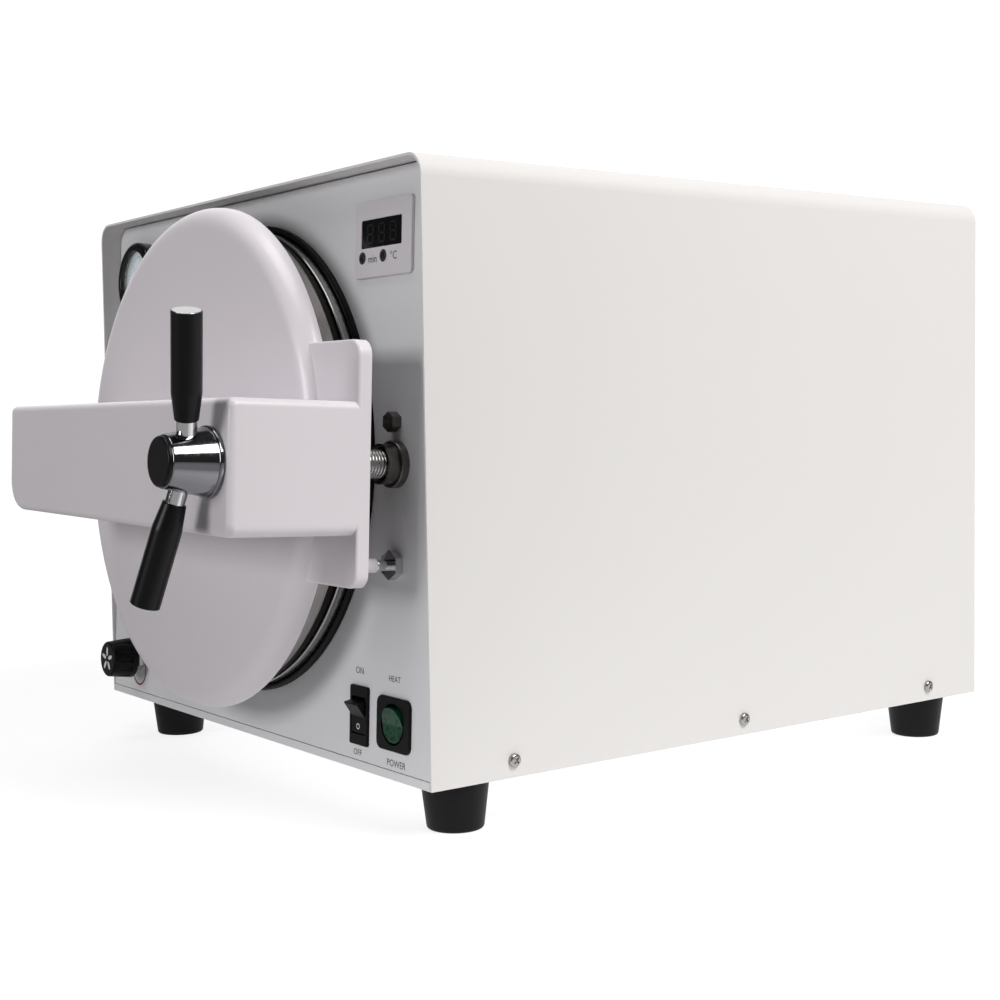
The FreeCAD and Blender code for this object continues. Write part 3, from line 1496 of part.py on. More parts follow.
def drain_valve():
    """Solenoid valve on the tray behind the chamber."""
    x = EXHAUST_X
    y = CASE_D - DRAIN_VALVE_Y
    z = EXHAUST_Z
    stand = box(centred(x, 20), centred(y, 20), (SHEET, z - 9))
    body = box(centred(x, 24), centred(y, DRAIN_VALVE_L), (z - 9, z + 9))
    coil = Part.makeCylinder(COIL_R, COIL_L, Vector(x, y, z + 9))
    return fused(stand, body, coil)


def drain_pipe():
    """From the vessel's lower port to the solenoid valve."""
    port = case_point(0, PORT_Y, -SHELL_R - PORT_H)
    down = FRONT.Rotation.multVec(Vector(0, 0, -1))
    drop = port + down * DRAIN_DROP
    x = EXHAUST_X
    y = CASE_D - DRAIN_VALVE_Y - DRAIN_VALVE_L / 2
    points = [
        port,
        drop,
        Vector(x + DRAIN_RUN, drop.y, drop.z),
        Vector(x, drop.y + DRAIN_RISE_Y, EXHAUST_Z),
        Vector(x, y, EXHAUST_Z),
    ]
    return pipe(points, PIPE_R, 6.0)


def gauge_pipe():
    """Thin pipe from the gauge's stem over the chamber to its safety valve."""
    stem = case_point(GAUGE_X, GAUGE_CASE_D + GAUGE_STEM_L, GAUGE_Z)
    end = case_point(-SAFETY_R, PORT_Y, SHELL_R + PORT_H + SAFETY_SIDE_H)
    inward = FRONT.Rotation.multVec(Y_AXIS)
    points = [
        stem,
        stem + inward * (PORT_Y - GAUGE_CASE_D - GAUGE_STEM_L - GAUGE_PIPE_DROP_Y),
        end - X_AXIS * GAUGE_PIPE_RUN,
        end,
    ]
    return pipe(points, GAUGE_PIPE_R, PIPE_BEND)


def all_parts():
    """Every node's solid in the casing's frame, by name."""
    parts = {
        "base_tray": base_tray(),
        "outer_casing": outer_casing(),
        "front_panel": in_case(front_panel()),
        "rear_panel": rear_panel(),
        "foot_front_left": rubber_foot(FOOT_LEFT_X, FOOT_FRONT_Y),
        "foot_front_right": rubber_foot(FOOT_RIGHT_X, FOOT_FRONT_Y),
        "foot_rear_left": rubber_foot(FOOT_LEFT_X, FOOT_REAR_Y),
        "foot_rear_right": rubber_foot(FOOT_RIGHT_X, FOOT_REAR_Y),
        "foot_screws": foot_screws(),
        "casing_screws": casing_screws(),
        "power_inlet": power_inlet(),
        "fuse_holder": fuse_holder(),
        "exhaust_port": exhaust_port(),
        "vacuum_pump": vacuum_pump(),
        "mains_board": mains_board(),
        "drain_valve": drain_valve(),
        "drain_pipe": drain_pipe(),
        "gauge_pipe": gauge_pipe(),
        "saddles": saddles(),
    }
    heat = (HEAT_SWITCH_X, HEAT_SWITCH_W, HEAT_SWITCH_H, 1.5, "square")
    power = (POWER_SWITCH_X, POWER_SWITCH_W, POWER_SWITCH_H, 5.0, "round")
    front = {
        "chamber": chamber(),
        "chamber_flange": chamber_flange(),
        "mouth_trim": mouth_trim(),
        "heater_band": heater_band(),
        "lagging": lagging(),
        "safety_valve": safety_valve(),
        "door_plate": door_plate(),
        "door_gasket": door_gasket(),
        "door_cover": door_cover(),
        "strongback": strongback(),
        "cover_screws": cover_screws(),
        "centre_bolt": centre_bolt(),
        "hinge_bracket": hinge_bracket(),
        "hinge_pin": hinge_pin(),
        "panel_bolts": panel_bolts(),
        "clamp_socket": clamp_socket(),
        "clamp_bush": clamp_bush(),
        "thrust_sleeve": thrust_sleeve(),
        "clamp_screw": clamp_screw(),
        "handle_hub": handle_hub(),
        "hub_cap": hub_cap(),
        "lever_rods": lever_rods(),
        "lever_grips": lever_grips(),
        "grip_caps": grip_caps(),
        "gauge_body": gauge_body(),
        "gauge_dial": gauge_dial(),
        "gauge_glass": gauge_glass(),
        "gauge_needle": gauge_needle(),
        "valve_body": valve_body(),
        "valve_stem": valve_stem(),
        "valve_knob": valve_knob(),
        "display_bezel": display_bezel(),
        "display_window": display_window(),
        "display_lamps": display_lamps(),
        "display_board": display_board(),
        "heat_switch": switch_housing(*heat),
        "heat_switch_rocker": heat_switch_rocker(),
        "power_switch": switch_housing(*power),
        "power_switch_rocker": power_switch_rocker(),
        "door_switch": door_switch(),
        "door_switch_plunger": door_switch_plunger(),
    }
    for name in front:
        parts[name] = in_case(front[name])
    return parts


def floor_origin(parts):
    """The point of the casing's frame that becomes the origin."""
    bounds = FreeCAD.BoundBox()
    for shape in parts.values():
        bounds.add(shape.optimalBoundingBox(False, False))
    return Vector(bounds.Center.x, bounds.Center.y, bounds.ZMin)


def main():
    os.makedirs("parts", exist_ok=True)
    parts = all_parts()
    origin = floor_origin(parts)
    for name, shape in parts.items():
        shape.translate(origin * -1)
        shape.exportStep("parts/" + name + ".step")


main()
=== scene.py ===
import json
import math

import bmesh
import bpy
from mathutils import Matrix, Vector


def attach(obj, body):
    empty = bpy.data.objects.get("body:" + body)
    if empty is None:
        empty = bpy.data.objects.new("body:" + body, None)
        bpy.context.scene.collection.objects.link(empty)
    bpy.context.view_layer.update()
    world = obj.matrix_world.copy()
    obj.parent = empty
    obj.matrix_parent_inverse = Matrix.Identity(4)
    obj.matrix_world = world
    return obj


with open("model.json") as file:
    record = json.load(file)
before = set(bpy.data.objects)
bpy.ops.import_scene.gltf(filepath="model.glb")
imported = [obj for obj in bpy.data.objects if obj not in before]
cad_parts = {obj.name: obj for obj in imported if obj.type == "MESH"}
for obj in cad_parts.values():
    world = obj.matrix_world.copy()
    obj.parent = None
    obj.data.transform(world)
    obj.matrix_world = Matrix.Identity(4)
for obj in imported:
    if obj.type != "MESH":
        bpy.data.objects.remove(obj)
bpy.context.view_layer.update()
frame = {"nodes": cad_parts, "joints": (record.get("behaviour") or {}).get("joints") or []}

MM = 0.001
NODES = frame["nodes"]
JOINTS = {joint["name"]: joint for joint in frame["joints"]}

# Places on the machine's front, in mm: right, into the machine, up
CLAMP_X = 173.0
ARM_FRONT = 117.0
ROD_R = 7.9
GAUGE_X = -168.0
GAUGE_Z = 126.5
DIAL_Y = -3.6
VALVE_X = -167.0
VALVE_Z = -149.0
KNOB_FRONT = -26.5
ROCKER_FACE = -1.61
HEAT_SWITCH_X = 139.3
POWER_SWITCH_X = 176.1
SWITCH_Z = -147.7
LAMP_XS = (136.0, 158.2)
LAMP_Z = 118.9
DISPLAY_FRONT = -2.2
WINDOW_FRONT = -1.7
PRINT_LIFT = 0.08

# Unlit digits of the display
DIGIT_XS = (143.5, 155.5, 167.5)
DIGIT_Z = 132.3
DIGIT_HALF_W = 2.9
DIGIT_ROW = 5.2
DIGIT_BAR = 1.1
DIGIT_GAP = 0.6

# Gauge scale
DIAL_START = 225
DIAL_END = -45
TICKS = 30
TICKS_PER_NUMBER = 5
TICK_OUTER = 18.6
LONG_TICK_INNER = 15.2
SHORT_TICK_INNER = 16.6
NUMBER_R = 12.2
RED_BAND_R = 20.0
RED_BAND_START = 20

# Knob spokes and clamp screw thread
SPOKES = 5
SPOKE_MIDDLE = 5.4
SPOKE_HALF_L = 3.4
SPOKE_HALF_W = 1.5
SPOKE_POINTS = 12
THREAD_PITCH = 2.0
THREAD_START = -50.0
THREAD_TURNS = 21
THREAD_STEPS = 36
THREAD_ROOT = -0.1
THREAD_CREST = 0.55
THREAD_HALF = 0.85

# Camera, as solved from the photograph
CAMERA_PLACE = (0.9430, -0.66557, 0.2412)
CAMERA_AZIMUTH = 53.355
CAMERA_DROP = 3.360
CAMERA_ROLL = -0.8408
CAMERA_LENS = 58.26
SENSOR_W = 36.0
VIEW_HALF = 17.2

# Floor and world: as seen, as light on the object, and the seen share in reflections
FLOOR_REACH = 6.0
FLOOR_GREY = 0.30
# Seen glow of the floor near the machine, lower than FLOOR_GLOW: painted shade round the machine, which also
# lets its real shadow show
FLOOR_NEAR_SHADED = 0.80
FLOOR_GLOW = 1.0
FLOOR_THROWN = 0.80
FLOOR_MIRRORED = 0.12
LEFT_EDGE = (0.0, 0.25)
NEAR_EDGE = (0.50, 0.66)
AWAY_EDGE = (0.45, 1.30)
WORLD_BEHIND = 1.08
WORLD_AROUND = 0.03
WORLD_MIRRORED = 0.02
WORLD_RAMP = (0.55, 0.88)

# Lights: name, place, width, height, power and colour
AIM = (0, 0, 0.2)
WHITE = (1, 1, 1)
WARM = (1.0, 0.985, 0.97)
LIGHTS = (
    ("side_softbox", (1.6, 0.3, 1.7), 1.0, 1.0, 38.0, WARM),
    ("front_softbox", (-0.1, -2.4, 0.75), 0.8, 0.8, 18.5, WHITE),
    ("top_softbox", (0.0, -0.6, 2.2), 1.2, 1.2, 15.0, WHITE),
)

OUTWARD = Vector(JOINTS["handle_turn"]["axis"])
UPWARD = Vector(JOINTS["door_swing"]["axis"])
SIDEWAYS = Vector((1, 0, 0))
HUB = Vector(JOINTS["handle_turn"]["pos_m"])
FRONT_ORIGIN = HUB - SIDEWAYS * CLAMP_X * MM - OUTWARD * ARM_FRONT * MM


def front(x, y, z):
    """A point of the inclined front in the row frame."""
    return FRONT_ORIGIN + (SIDEWAYS * x - OUTWARD * y + UPWARD * z) * MM


def facing(x, y, z):
    """Matrix of a drawing seen from the front, in mm."""
    axes = Matrix((SIDEWAYS, UPWARD, OUTWARD)).transposed().to_4x4()
    return Matrix.Translation(front(x, y, z)) @ axes @ Matrix.Scale(MM, 4)


# Materials
def new_material(name, colour, roughness, metallic=0.0, specular=0.5, coat=0.0):
    material = bpy.data.materials.new(name)
    material.use_nodes = True
    shader = material.node_tree.nodes["Principled BSDF"]
    shader.inputs["Base Color"].default_value = (*colour, 1)
    shader.inputs["Roughness"].default_value = roughness
    shader.inputs["Metallic"].default_value = metallic
    shader.inputs["Specular IOR Level"].default_value = specular
    shader.inputs["Coat Weight"].default_value = coat
    shader.inputs["Coat Roughness"].default_value = 0.08
    return material


def add_node(material, kind, **values):
    node = material.node_tree.nodes.new(kind)
    for name, value in values.items():
        node.inputs[name].default_value = value
    return node


def join(material, source, target):
    material.node_tree.links.new(source, target)


def coordinates(material, stretch=(1, 1, 1)):
    place = material.node_tree.nodes.new("ShaderNodeTexCoord")
    mapping = add_node(material, "ShaderNodeMapping", Scale=stretch)
    join(material, place.outputs["Object"], mapping.inputs["Vector"])
    return mapping.outputs["Vector"]


def noise(material, scale, detail, stretch=(1, 1, 1)):
    texture = add_node(material, "ShaderNodeTexNoise", Scale=scale, Detail=detail, Roughness=0.5)
    join(material, coordinates(material, stretch), texture.inputs["Vector"])
    return texture.outputs["Fac"]


def remap(material, value, low, high, start=0.0, end=1.0):
    node = material.node_tree.nodes.new("ShaderNodeMapRange")
    join(material, value, node.inputs["Value"])
    for name, number in (("From Min", start), ("From Max", end), ("To Min", low), ("To Max", high)):
        node.inputs[name].default_value = number
    return node.outputs["Result"]


def bump(material, height, strength, distance):
    node = add_node(material, "ShaderNodeBump", Strength=strength, Distance=distance)
    shader = material.node_tree.nodes["Principled BSDF"]
    join(material, height, node.inputs["Height"])
    join(material, node.outputs["Normal"], shader.inputs["Normal"])


def vary_roughness(material, value, low, high):
    shader = material.node_tree.nodes["Principled BSDF"]
    join(material, remap(material, value, low, high, 0.3, 0.7), shader.inputs["Roughness"])


def vary_colour(material, value, dark, light):
    """Mixes two colours by a value."""
    shader = material.node_tree.nodes["Principled BSDF"]
    mix = material.node_tree.nodes.new("ShaderNodeMix")
    mix.data_type = "RGBA"
    mix.inputs["A"].default_value = (*dark, 1)
    mix.inputs["B"].default_value = (*light, 1)
    join(material, remap(material, value, 0, 1, 0.3, 0.7), mix.inputs["Factor"])
    join(material, mix.outputs["Result"], shader.inputs["Base Color"])


def scaled(colour, factor):
    return tuple(channel * factor for channel in colour)


def painted(name, colour, roughness, peel=0.06):
    """Baked powder coat with its fine orange peel."""
    material = new_material(name, colour, roughness, specular=0.4)
    bump(material, noise(material, 420.0, 2.0), peel, 0.0004)
    vary_roughness(material, noise(material, 5.0, 4.0), roughness - 0.04, roughness + 0.05)
    vary_colour(material, noise(material, 2.2, 3.0), scaled(colour, 0.985), colour)
    return material


def moulded(name, colour, roughness, coat=0.0, grain=0.03, specular=0.5):
    """Moulded plastic or rubber with a fine grain."""
    material = new_material(name, colour, roughness, coat=coat, specular=specular)
    bump(material, noise(material, 260.0, 3.0), grain, 0.0004)
    vary_roughness(material, noise(material, 9.0, 4.0), roughness - 0.03, roughness + 0.05)
    return material


def metal(name, colour, roughness, stretch=(1, 1, 1), scale=600.0, depth=0.05):
    """Bare metal with fine working marks, drawn out along an axis if stretched."""
    material = new_material(name, colour, roughness, metallic=1.0)
    lines = noise(material, scale, 4.0, stretch)
    bump(material, lines, depth, 0.0002)
    vary_roughness(material, lines, roughness - 0.05, roughness + 0.08)
    return material


def ring_brushed(name, colour, roughness):
    """Steel turned on a lathe: fine rings about the chamber's axis."""
    material = new_material(name, colour, roughness, metallic=1.0)
    place = material.node_tree.nodes.new("ShaderNodeTexCoord")
    shift = add_node(material, "ShaderNodeMapping", Location=tuple(-FRONT_ORIGIN))
    join(material, place.outputs["Object"], shift.inputs["Vector"])
    split = material.node_tree.nodes.new("ShaderNodeSeparateXYZ")
    join(material, shift.outputs["Vector"], split.inputs["Vector"])
    flat = material.node_tree.nodes.new("ShaderNodeCombineXYZ")
    join(material, split.outputs["X"], flat.inputs["X"])
    join(material, split.outputs["Z"], flat.inputs["Z"])
    length = material.node_tree.nodes.new("ShaderNodeVectorMath")
    length.operation = "LENGTH"
    join(material, flat.outputs["Vector"], length.inputs[0])
    lathe = material.node_tree.nodes.new("ShaderNodeTexNoise")
    lathe.noise_dimensions = "1D"
    lathe.inputs["Scale"].default_value = 900.0
    lathe.inputs["Detail"].default_value = 5.0
    reach = material.node_tree.nodes.new("ShaderNodeMath")
    reach.operation = "ADD"
    join(material, length.outputs["Value"], reach.inputs[0])
    join(material, split.outputs["Y"], reach.inputs[1])
    join(material, reach.outputs["Value"], lathe.inputs["W"])
    bump(material, lathe.outputs["Fac"], 0.12, 0.0002)
    vary_roughness(material, lathe.outputs["Fac"], roughness - 0.06, roughness + 0.10)
    vary_colour(material, lathe.outputs["Fac"], scaled(colour, 0.72), scaled(colour, 1.15))
    return material


def clear_glass():
    material = new_material("clear_glass", (1, 1, 1), 0.02)
    material.node_tree.nodes["Principled BSDF"].inputs["Transmission Weight"].default_value = 1.0
    return material


def lens_green():
    """Dark green lens with the facets of its inner side; the lighter green along the facet edges is painted
    glint.
    """
    material = new_material("green_plastic", (0.003, 0.040, 0.018), 0.22, specular=0.25)
    facets = add_node(material, "ShaderNodeTexVoronoi", Scale=210.0)
    facets.feature = "DISTANCE_TO_EDGE"
    join(material, coordinates(material), facets.inputs["Vector"])
    # Lighter green along the facet edges: painted glints
    painted_glint = remap(material, facets.outputs["Distance"], 1.0, 0.0, 0.0, 0.30)
    vary_colour(material, painted_glint, (0.002, 0.026, 0.012), (0.004, 0.060, 0.028))
    bump(material, facets.outputs["Distance"], 0.20, 0.0003)
    return material


CASING = painted("casing_paint", (0.80, 0.785, 0.775), 0.58)
PANEL = painted("panel_paint", (0.78, 0.78, 0.805), 0.38, 0.04)
COVER = moulded("cover_moulding", (0.785, 0.742, 0.78), 0.33, coat=0.15)
ZINC = metal("zinc_steel", (0.58, 0.59, 0.60), 0.42, scale=90.0)
STAINLESS = ring_brushed("stainless", (0.42, 0.41, 0.40), 0.16)
CHROME = metal("bright_steel", (0.62, 0.62, 0.63), 0.10, depth=0.01)
RIM_STEEL = ring_brushed("rim_steel", (0.42, 0.40, 0.38), 0.20)
# Chrome of the hub, darker in colour than bright_steel: painted shade for the dark surroundings in its
# reflections
HUB_CHROME_SHADED = metal("hub_chrome_painted_shade", (0.24, 0.24, 0.26), 0.10, depth=0.01)
MACHINED = metal("machined_steel", (0.17, 0.16, 0.15), 0.30, (1, 8, 1))
SCREW = metal("screw_steel", (0.40, 0.39, 0.38), 0.28)
BRONZE = metal("bronze", (0.58, 0.42, 0.22), 0.34)
RUBBER = moulded("black_rubber", (0.006, 0.0055, 0.0068), 0.46, grain=0.10, specular=0.16)
BLACK = moulded("black_plastic", (0.0045, 0.0042, 0.005), 0.36, specular=0.14)
GRIP = moulded("grip_plastic", (0.0045, 0.0040, 0.005), 0.33, specular=0.18)
GLOSS_BLACK = moulded("gloss_black", (0.004, 0.004, 0.005), 0.14, coat=0.25, specular=0.3)
BEZEL = moulded("bezel_plastic", (0.72, 0.69, 0.72), 0.42)
WINDOW = moulded("smoked_window", (0.004, 0.004, 0.005), 0.14, grain=0.01, specular=0.3)
GREEN = lens_green()
LAMP = moulded("lamp_plastic", (0.006, 0.005, 0.006), 0.14, coat=0.5)
DIAL = painted("dial_card", (0.62, 0.70, 0.76), 0.55)
GLASS = clear_glass()
LAGGING = moulded("lagging_fibre", (0.62, 0.60, 0.54), 0.92, grain=0.8)
BOARD = moulded("circuit_board", (0.02, 0.16, 0.07), 0.45)
CAST = metal("pump_aluminium", (0.52, 0.53, 0.54), 0.48, scale=160.0)
PRINT_BLACK = new_material("print_black", (0.02, 0.02, 0.025), 0.5)
PRINT_GREY = new_material("print_grey", (0.055, 0.05, 0.06), 0.5)
PRINT_WHITE = new_material("print_white", (0.75, 0.75, 0.76), 0.5)
PRINT_RED = new_material("print_red", (0.28, 0.035, 0.03), 0.5)
SEGMENT = new_material("segment_off", (0.012, 0.011, 0.013), 0.3)

WEARS = {
    CASING: ("outer_casing", "rear_panel"),
    PANEL: ("front_panel", "base_tray"),
    ZINC: ("saddles", "foot_screws", "heater_band"),
    STAINLESS: ("chamber", "chamber_flange"),
    RIM_STEEL: ("door_plate",),
    CHROME: (
        "centre_bolt", "cover_screws", "hinge_pin", "lever_rods", "grip_caps",
        "valve_body", "valve_stem", "door_switch", "door_switch_plunger", "exhaust_port",
    ),
    HUB_CHROME_SHADED: ("handle_hub",),
    SCREW: ("casing_screws", "clamp_screw"),
    MACHINED: ("panel_bolts", "strongback", "hinge_bracket", "clamp_socket", "thrust_sleeve"),
    BRONZE: ("clamp_bush", "safety_valve", "drain_pipe", "gauge_pipe"),
    COVER: ("door_cover",),
    RUBBER: (
        "foot_front_left", "foot_front_right", "foot_rear_left", "foot_rear_right",
        "mouth_trim", "door_gasket",
    ),
    BLACK: (
        "valve_knob", "heat_switch", "power_switch", "heat_switch_rocker", "power_inlet",
        "fuse_holder", "gauge_needle",
    ),
    GRIP: ("lever_grips", "hub_cap"),
    GLOSS_BLACK: ("gauge_body",),
    BEZEL: ("display_bezel",),
    WINDOW: ("display_window",),
    GREEN: ("power_switch_rocker",),
    LAMP: ("display_lamps",),
    DIAL: ("gauge_dial",),
    GLASS: ("gauge_glass",),
    LAGGING: ("lagging",),
    BOARD: ("mains_board", "display_board"),
    CAST: ("vacuum_pump", "drain_valve"),
}


def dress_nodes():
    for material, names in WEARS.items():
        for name in names:
            mesh = NODES[name].data
            mesh.materials.clear()
            mesh.materials.append(material)
            mesh.shade_smooth()
            mesh.set_sharp_from_angle(angle=math.radians(28))


# Added pieces
def add_mesh(name, mesh, matrix, material, body):
    piece = bpy.data.objects.new(name, mesh)
    bpy.context.scene.collection.objects.link(piece)
    mesh.materials.clear()
    mesh.materials.append(material)
    mesh.transform(matrix)
    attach(piece, body)
    return piece


def drawing():
    return bmesh.new()


def add_polygon(sketch, points):
    sketch.faces.new([sketch.verts.new((x, y, 0)) for x, y in points])


def add_bar(sketch, start, end, width):
    a = Vector(start)
    b = Vector(end)
    side = (b - a).normalized().orthogonal() * width / 2
    add_polygon(sketch, [a + side, b + side, b - side, a - side])


def add_arc(sketch, radius, width, first, last, steps, centre=(0, 0)):
    """Flat band along a circle, angles in degrees, anticlockwise."""
    rows = []
    for i in range(steps + 1):
        angle = math.radians(first + (last - first) * i / steps)
        row = []
        for reach in (radius - width / 2, radius + width / 2):
            x = centre[0] + reach * math.cos(angle)
            y = centre[1] + reach * math.sin(angle)
            row.append(sketch.verts.new((x, y, 0)))
        rows.append(row)
    for low, high in zip(rows, rows[1:]):
        sketch.faces.new((low[0], low[1], high[1], high[0]))


def add_text(sketch, words, x, y, height):
    """Flat lettering centred at x, y."""
    curve = bpy.data.curves.new("words", "FONT")
    curve.body = words
    curve.size = height
    curve.align_x = "CENTER"
    curve.align_y = "CENTER"
    curve.resolution_u = 3
    holder = bpy.data.objects.new("words", curve)
    bpy.context.scene.collection.objects.link(holder)
    bpy.context.view_layer.update()
    shape = bpy.data.meshes.new_from_object(holder)
    shape.transform(Matrix.Translation((x, y, 0)))
    sketch.from_mesh(shape)
    bpy.data.objects.remove(holder)
    bpy.data.meshes.remove(shape)


def finish_drawing(name, sketch, matrix, material, body):
    mesh = bpy.data.meshes.new(name)
    sketch.normal_update()
    sketch.to_mesh(mesh)
    sketch.free()
    return add_mesh(name, mesh, matrix, material, body)


def panel_labels():
    """The small words above and below the two switches."""
    sketch = drawing()
    add_text(sketch, "ON", HEAT_SWITCH_X - 1.5, SWITCH_Z + 26.0, 5.6)
    add_text(sketch, "OFF", HEAT_SWITCH_X - 2.5, SWITCH_Z - 22.3, 5.2)
    add_text(sketch, "HEAT", POWER_SWITCH_X - 1.0, SWITCH_Z + 25.5, 5.0)
    add_text(sketch, "POWER", POWER_SWITCH_X + 2.0, SWITCH_Z - 22.6, 5.6)
    finish_drawing("panel_labels", sketch, facing(0, -PRINT_LIFT, 0), PRINT_GREY, "housing")


def red_ring():
    sketch = drawing()
    add_arc(sketch, 11.0, 1.3, 0, 360, 64)
    finish_drawing("steam_valve_ring", sketch, facing(-169.5, -PRINT_LIFT, -158.5), PRINT_RED, "housing")


def display_print():
    """Words beside the lamps, and the unlit digits behind the window."""
    sketch = drawing()
    for x in LAMP_XS:
        add_arc(sketch, 3.0, 1.2, 0, 360, 32, (x, LAMP_Z))
    add_text(sketch, "min", 147.0, 117.6, 6.4)
    add_text(sketch, "°C", 169.2, 118.0, 6.6)
    finish_drawing("display_words", sketch, facing(0, DISPLAY_FRONT - PRINT_LIFT, 0), PRINT_BLACK, "housing")
    sketch = drawing()
    for middle in DIGIT_XS:
        add_digit(sketch, middle, DIGIT_Z)
    finish_drawing("display_digits", sketch, facing(0, WINDOW_FRONT - PRINT_LIFT, 0), SEGMENT, "housing")


def add_digit(sketch, x, z):
    """Seven bars of one digit."""
    reach = DIGIT_HALF_W - DIGIT_GAP
    for row in (-DIGIT_ROW, 0.0, DIGIT_ROW):
        add_bar(sketch, (x - reach, z + row), (x + reach, z + row), DIGIT_BAR)
    for side in (x - DIGIT_HALF_W, x + DIGIT_HALF_W):
        for low in (z - DIGIT_ROW, z):
            start = (side, low + DIGIT_GAP)
            end = (side, low + DIGIT_ROW - DIGIT_GAP)
            add_bar(sketch, start, end, DIGIT_BAR)


def dial_print():
    """Scale of the gauge, from down left round to down right."""
    ticks = drawing()
    sweep = DIAL_START - DIAL_END
    for i in range(TICKS + 1):
        angle = math.radians(DIAL_START - sweep * i / TICKS)
        long = i % TICKS_PER_NUMBER == 0
        inner = LONG_TICK_INNER if long else SHORT_TICK_INNER
        start = (inner * math.cos(angle), inner * math.sin(angle))
        end = (TICK_OUTER * math.cos(angle), TICK_OUTER * math.sin(angle))
        add_bar(ticks, start, end, 0.55 if long else 0.25)
    add_arc(ticks, TICK_OUTER + 0.1, 0.3, DIAL_END, DIAL_START, 60)
    numbers = TICKS // TICKS_PER_NUMBER
    for i in range(numbers + 1):
        angle = math.radians(DIAL_START - sweep * i / numbers)
        add_text(ticks, str(i), NUMBER_R * math.cos(angle), NUMBER_R * math.sin(angle), 4.0)
    place = facing(GAUGE_X, DIAL_Y - PRINT_LIFT, GAUGE_Z)
    finish_drawing("dial_scale", ticks, place, PRINT_BLACK, "housing")
    band = drawing()
    add_arc(band, RED_BAND_R, 1.1, DIAL_END, RED_BAND_START, 20)
    finish_drawing("dial_red_band", band, place, PRINT_RED, "housing")


def rocker_marks():
    """The ring for off, on the pressed half of the rocker."""
    sketch = drawing()
    add_arc(sketch, 1.5, 0.55, 0, 360, 24)
    place = facing(HEAT_SWITCH_X, ROCKER_FACE - PRINT_LIFT, SWITCH_Z - 6.4)
    finish_drawing("rocker_off_mark", sketch, place, PRINT_WHITE, "heat_rocker")


def knob_face():
    """Bright spokes on the steam valve's knob."""
    sketch = drawing()
    for i in range(SPOKES):
        angle = math.radians(90 + 360 * i / SPOKES)
        tip = Vector((math.cos(angle), math.sin(angle)))
        side = Vector((-tip.y, tip.x))
        outline = []
        for k in range(SPOKE_POINTS):
            around = 2 * math.pi * k / SPOKE_POINTS
            along = SPOKE_MIDDLE + SPOKE_HALF_L * math.cos(around)
            outline.append(tip * along + side * SPOKE_HALF_W * math.sin(around))
        add_polygon(sketch, outline)
    place = facing(VALVE_X, KNOB_FRONT - PRINT_LIFT, VALVE_Z)
    finish_drawing("valve_knob_face", sketch, place, PRINT_WHITE, "steam_valve")


def rod_thread():
    """Raised thread on the inner end of the clamp screw."""
    root = ROD_R + THREAD_ROOT
    profile = ((root, -THREAD_HALF), (ROD_R + THREAD_CREST, 0.0), (root, THREAD_HALF))
    sketch = drawing()
    rows = []
    for i in range(THREAD_TURNS * THREAD_STEPS + 1):
        angle = 2 * math.pi * i / THREAD_STEPS
        along = THREAD_START + THREAD_PITCH * i / THREAD_STEPS
        row = []
        for radius, offset in profile:
            x = radius * math.cos(angle)
            y = radius * math.sin(angle)
            row.append(sketch.verts.new((x, y, -(along + offset))))
        rows.append(row)
    for low, high in zip(rows, rows[1:]):
        for k in (0, 1):
            sketch.faces.new((low[k], low[k + 1], high[k + 1], high[k]))
    piece = finish_drawing("clamp_screw_thread", sketch, facing(CLAMP_X, 0, 0), SCREW, "handle")
    piece.data.shade_smooth()


# Stage, light and camera
def lit_share(material, direction, dark, bright):
    """From 0 to 1 across the floor, along a level direction from the camera's foot."""
    place = material.node_tree.nodes.new("ShaderNodeTexCoord")
    dot = material.node_tree.nodes.new("ShaderNodeVectorMath")
    dot.operation = "DOT_PRODUCT"
    dot.inputs[1].default_value = (*direction, 0)
    join(material, place.outputs["Object"], dot.inputs[0])
    foot = direction[0] * CAMERA_PLACE[0] + direction[1] * CAMERA_PLACE[1]
    return remap(material, dot.outputs["Value"], 0.0, 1.0, foot + dark, foot + bright)


def times(material, first, second):
    node = material.node_tree.nodes.new("ShaderNodeMath")
    node.operation = "MULTIPLY"
    for slot, value in zip((0, 1), (first, second)):
        if isinstance(value, float):
            node.inputs[slot].default_value = value
        else:
            join(material, value, node.inputs[slot])
    return node.outputs["Value"]


def blend_values(tree, share, low, high):
    """A value between two others, as a share from 0 to 1 says."""
    node = tree.nodes.new("ShaderNodeMix")
    tree.links.new(share, node.inputs["Factor"])
    for name, value in (("A", low), ("B", high)):
        if isinstance(value, float):
            node.inputs[name].default_value = value
        else:
            tree.links.new(value, node.inputs[name])
    return node.outputs["Result"]


def away_share(material):
    """From 0 at the machine to 1 well away from it."""
    place = material.node_tree.nodes.new("ShaderNodeTexCoord")
    reach = material.node_tree.nodes.new("ShaderNodeVectorMath")
    reach.operation = "LENGTH"
    join(material, place.outputs["Object"], reach.inputs[0])
    return remap(material, reach.outputs["Value"], 0.0, 1.0, *AWAY_EDGE)


def seen_share(tree, mirrored):
    """1 where the camera looks at it or through glass, and less in a reflection."""
    ray = tree.nodes.new("ShaderNodeLightPath")
    dimmed = tree.nodes.new("ShaderNodeMath")
    dimmed.operation = "MULTIPLY"
    dimmed.inputs[1].default_value = mirrored
    tree.links.new(ray.outputs["Is Glossy Ray"], dimmed.inputs[0])
    share = dimmed.outputs["Value"]
    for name in ("Is Transmission Ray", "Is Camera Ray"):
        larger = tree.nodes.new("ShaderNodeMath")
        larger.operation = "MAXIMUM"
        tree.links.new(share, larger.inputs[0])
        tree.links.new(ray.outputs[name], larger.inputs[1])
        share = larger.outputs["Value"]
    return share


def level(azimuth):
    """Level direction, in degrees anticlockwise from the machine's depth."""
    return (-math.sin(math.radians(azimuth)), math.cos(math.radians(azimuth)))


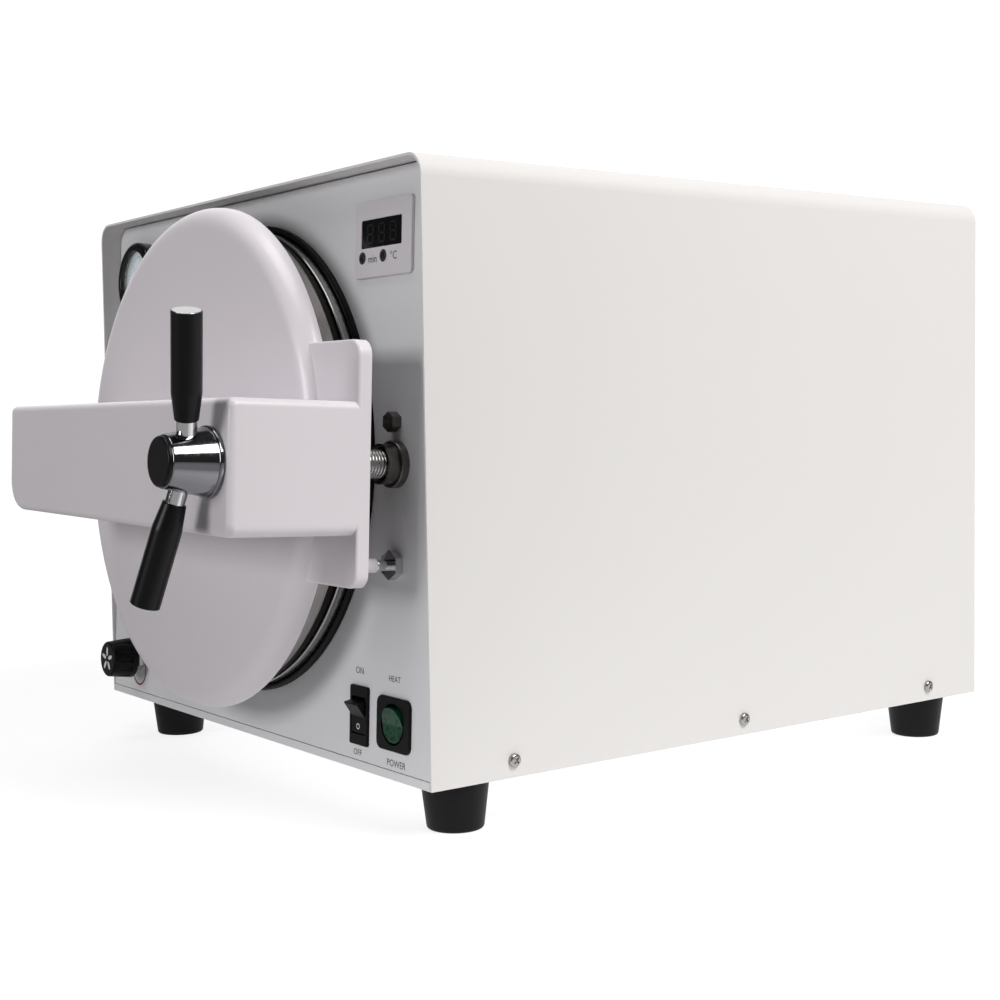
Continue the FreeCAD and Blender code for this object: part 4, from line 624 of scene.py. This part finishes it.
def make_stage():
    """Floor that looks white away from the machine, with painted shade round the machine, and throws less
    light on the door's side of the machine.
    """
    mesh = bpy.data.meshes.new("floor")
    corners = [(x * FLOOR_REACH, y * FLOOR_REACH, 0) for x, y in ((-1, -1), (1, -1), (1, 1), (-1, 1))]
    mesh.from_pydata(corners, [], [(0, 1, 2, 3)])
    floor = bpy.data.objects.new("floor", mesh)
    bpy.context.scene.collection.objects.link(floor)
    material = new_material("floor", (FLOOR_GREY, FLOOR_GREY, FLOOR_GREY), 0.9, specular=0.1)
    shader = material.node_tree.nodes["Principled BSDF"]
    shader.inputs["Emission Color"].default_value = (1, 1, 1, 1)
    left_edge = lit_share(material, level(CAMERA_AZIMUTH + VIEW_HALF - 90), *LEFT_EDGE)
    near_edge = lit_share(material, level(CAMERA_AZIMUTH), *NEAR_EDGE)
    thrown = times(material, times(material, left_edge, near_edge), FLOOR_THROWN)
    seen = seen_share(material.node_tree, FLOOR_MIRRORED)
    # Less seen glow near the machine: painted shade on the floor round it
    seen_glow_shaded_near = blend_values(material.node_tree, away_share(material), FLOOR_NEAR_SHADED, FLOOR_GLOW)
    glow = blend_values(material.node_tree, seen, thrown, seen_glow_shaded_near)
    join(material, glow, shader.inputs["Emission Strength"])
    material.cycles.emission_sampling = "NONE"
    mesh.materials.append(material)


def make_world():
    """Looks white all round, and lights the machine from behind more than from the front."""
    world = bpy.data.worlds.new("studio")
    bpy.context.scene.world = world
    world.use_nodes = True
    tree = world.node_tree
    background = tree.nodes["Background"]
    place = tree.nodes.new("ShaderNodeTexCoord")
    dot = tree.nodes.new("ShaderNodeVectorMath")
    dot.operation = "DOT_PRODUCT"
    dot.inputs[1].default_value = (*level(CAMERA_AZIMUTH), 0)
    tree.links.new(place.outputs["Generated"], dot.inputs[0])
    ramp = tree.nodes.new("ShaderNodeMapRange")
    ramp.inputs["From Min"].default_value = WORLD_RAMP[0]
    ramp.inputs["From Max"].default_value = WORLD_RAMP[1]
    ramp.inputs["To Min"].default_value = WORLD_AROUND
    ramp.inputs["To Max"].default_value = WORLD_BEHIND
    tree.links.new(dot.outputs["Value"], ramp.inputs["Value"])
    strength = blend_values(tree, seen_share(tree, WORLD_MIRRORED), ramp.outputs["Result"], WORLD_BEHIND)
    tree.links.new(strength, background.inputs["Strength"])
    background.inputs["Color"].default_value = (1, 1, 1, 1)


def add_light(name, place, width, height, power, colour):
    light = bpy.data.lights.new(name, "AREA")
    light.shape = "RECTANGLE"
    light.size = width
    light.size_y = height
    light.energy = power
    light.color = colour
    holder = bpy.data.objects.new(name, light)
    bpy.context.scene.collection.objects.link(holder)
    holder.location = place
    aim = Vector(AIM) - Vector(place)
    holder.rotation_mode = "QUATERNION"
    holder.rotation_quaternion = aim.to_track_quat("-Z", "Y")


def make_lights():
    for light in LIGHTS:
        add_light(*light)


def make_camera():
    azimuth = math.radians(CAMERA_AZIMUTH)
    drop = math.radians(CAMERA_DROP)
    roll = math.radians(CAMERA_ROLL)
    ahead = math.cos(drop)
    forward = Vector((-math.sin(azimuth) * ahead, math.cos(azimuth) * ahead, -math.sin(drop)))
    level_right = Vector((math.cos(azimuth), math.sin(azimuth), 0))
    level_up = level_right.cross(forward)
    right = math.cos(roll) * level_right + math.sin(roll) * level_up
    up = -math.sin(roll) * level_right + math.cos(roll) * level_up
    lens = bpy.data.cameras.new("camera")
    lens.lens = CAMERA_LENS
    lens.sensor_width = SENSOR_W
    lens.clip_start = 0.01
    lens.clip_end = 50.0
    camera = bpy.data.objects.new("camera", lens)
    bpy.context.scene.collection.objects.link(camera)
    axes = Matrix((right, up, -forward)).transposed().to_4x4()
    camera.matrix_world = Matrix.Translation(CAMERA_PLACE) @ axes
    bpy.context.scene.camera = camera


dress_nodes()
panel_labels()
red_ring()
display_print()
dial_print()
rocker_marks()
knob_face()
rod_thread()
make_stage()
make_world()
make_lights()
make_camera()
bpy.context.scene.view_settings.view_transform = "Standard"
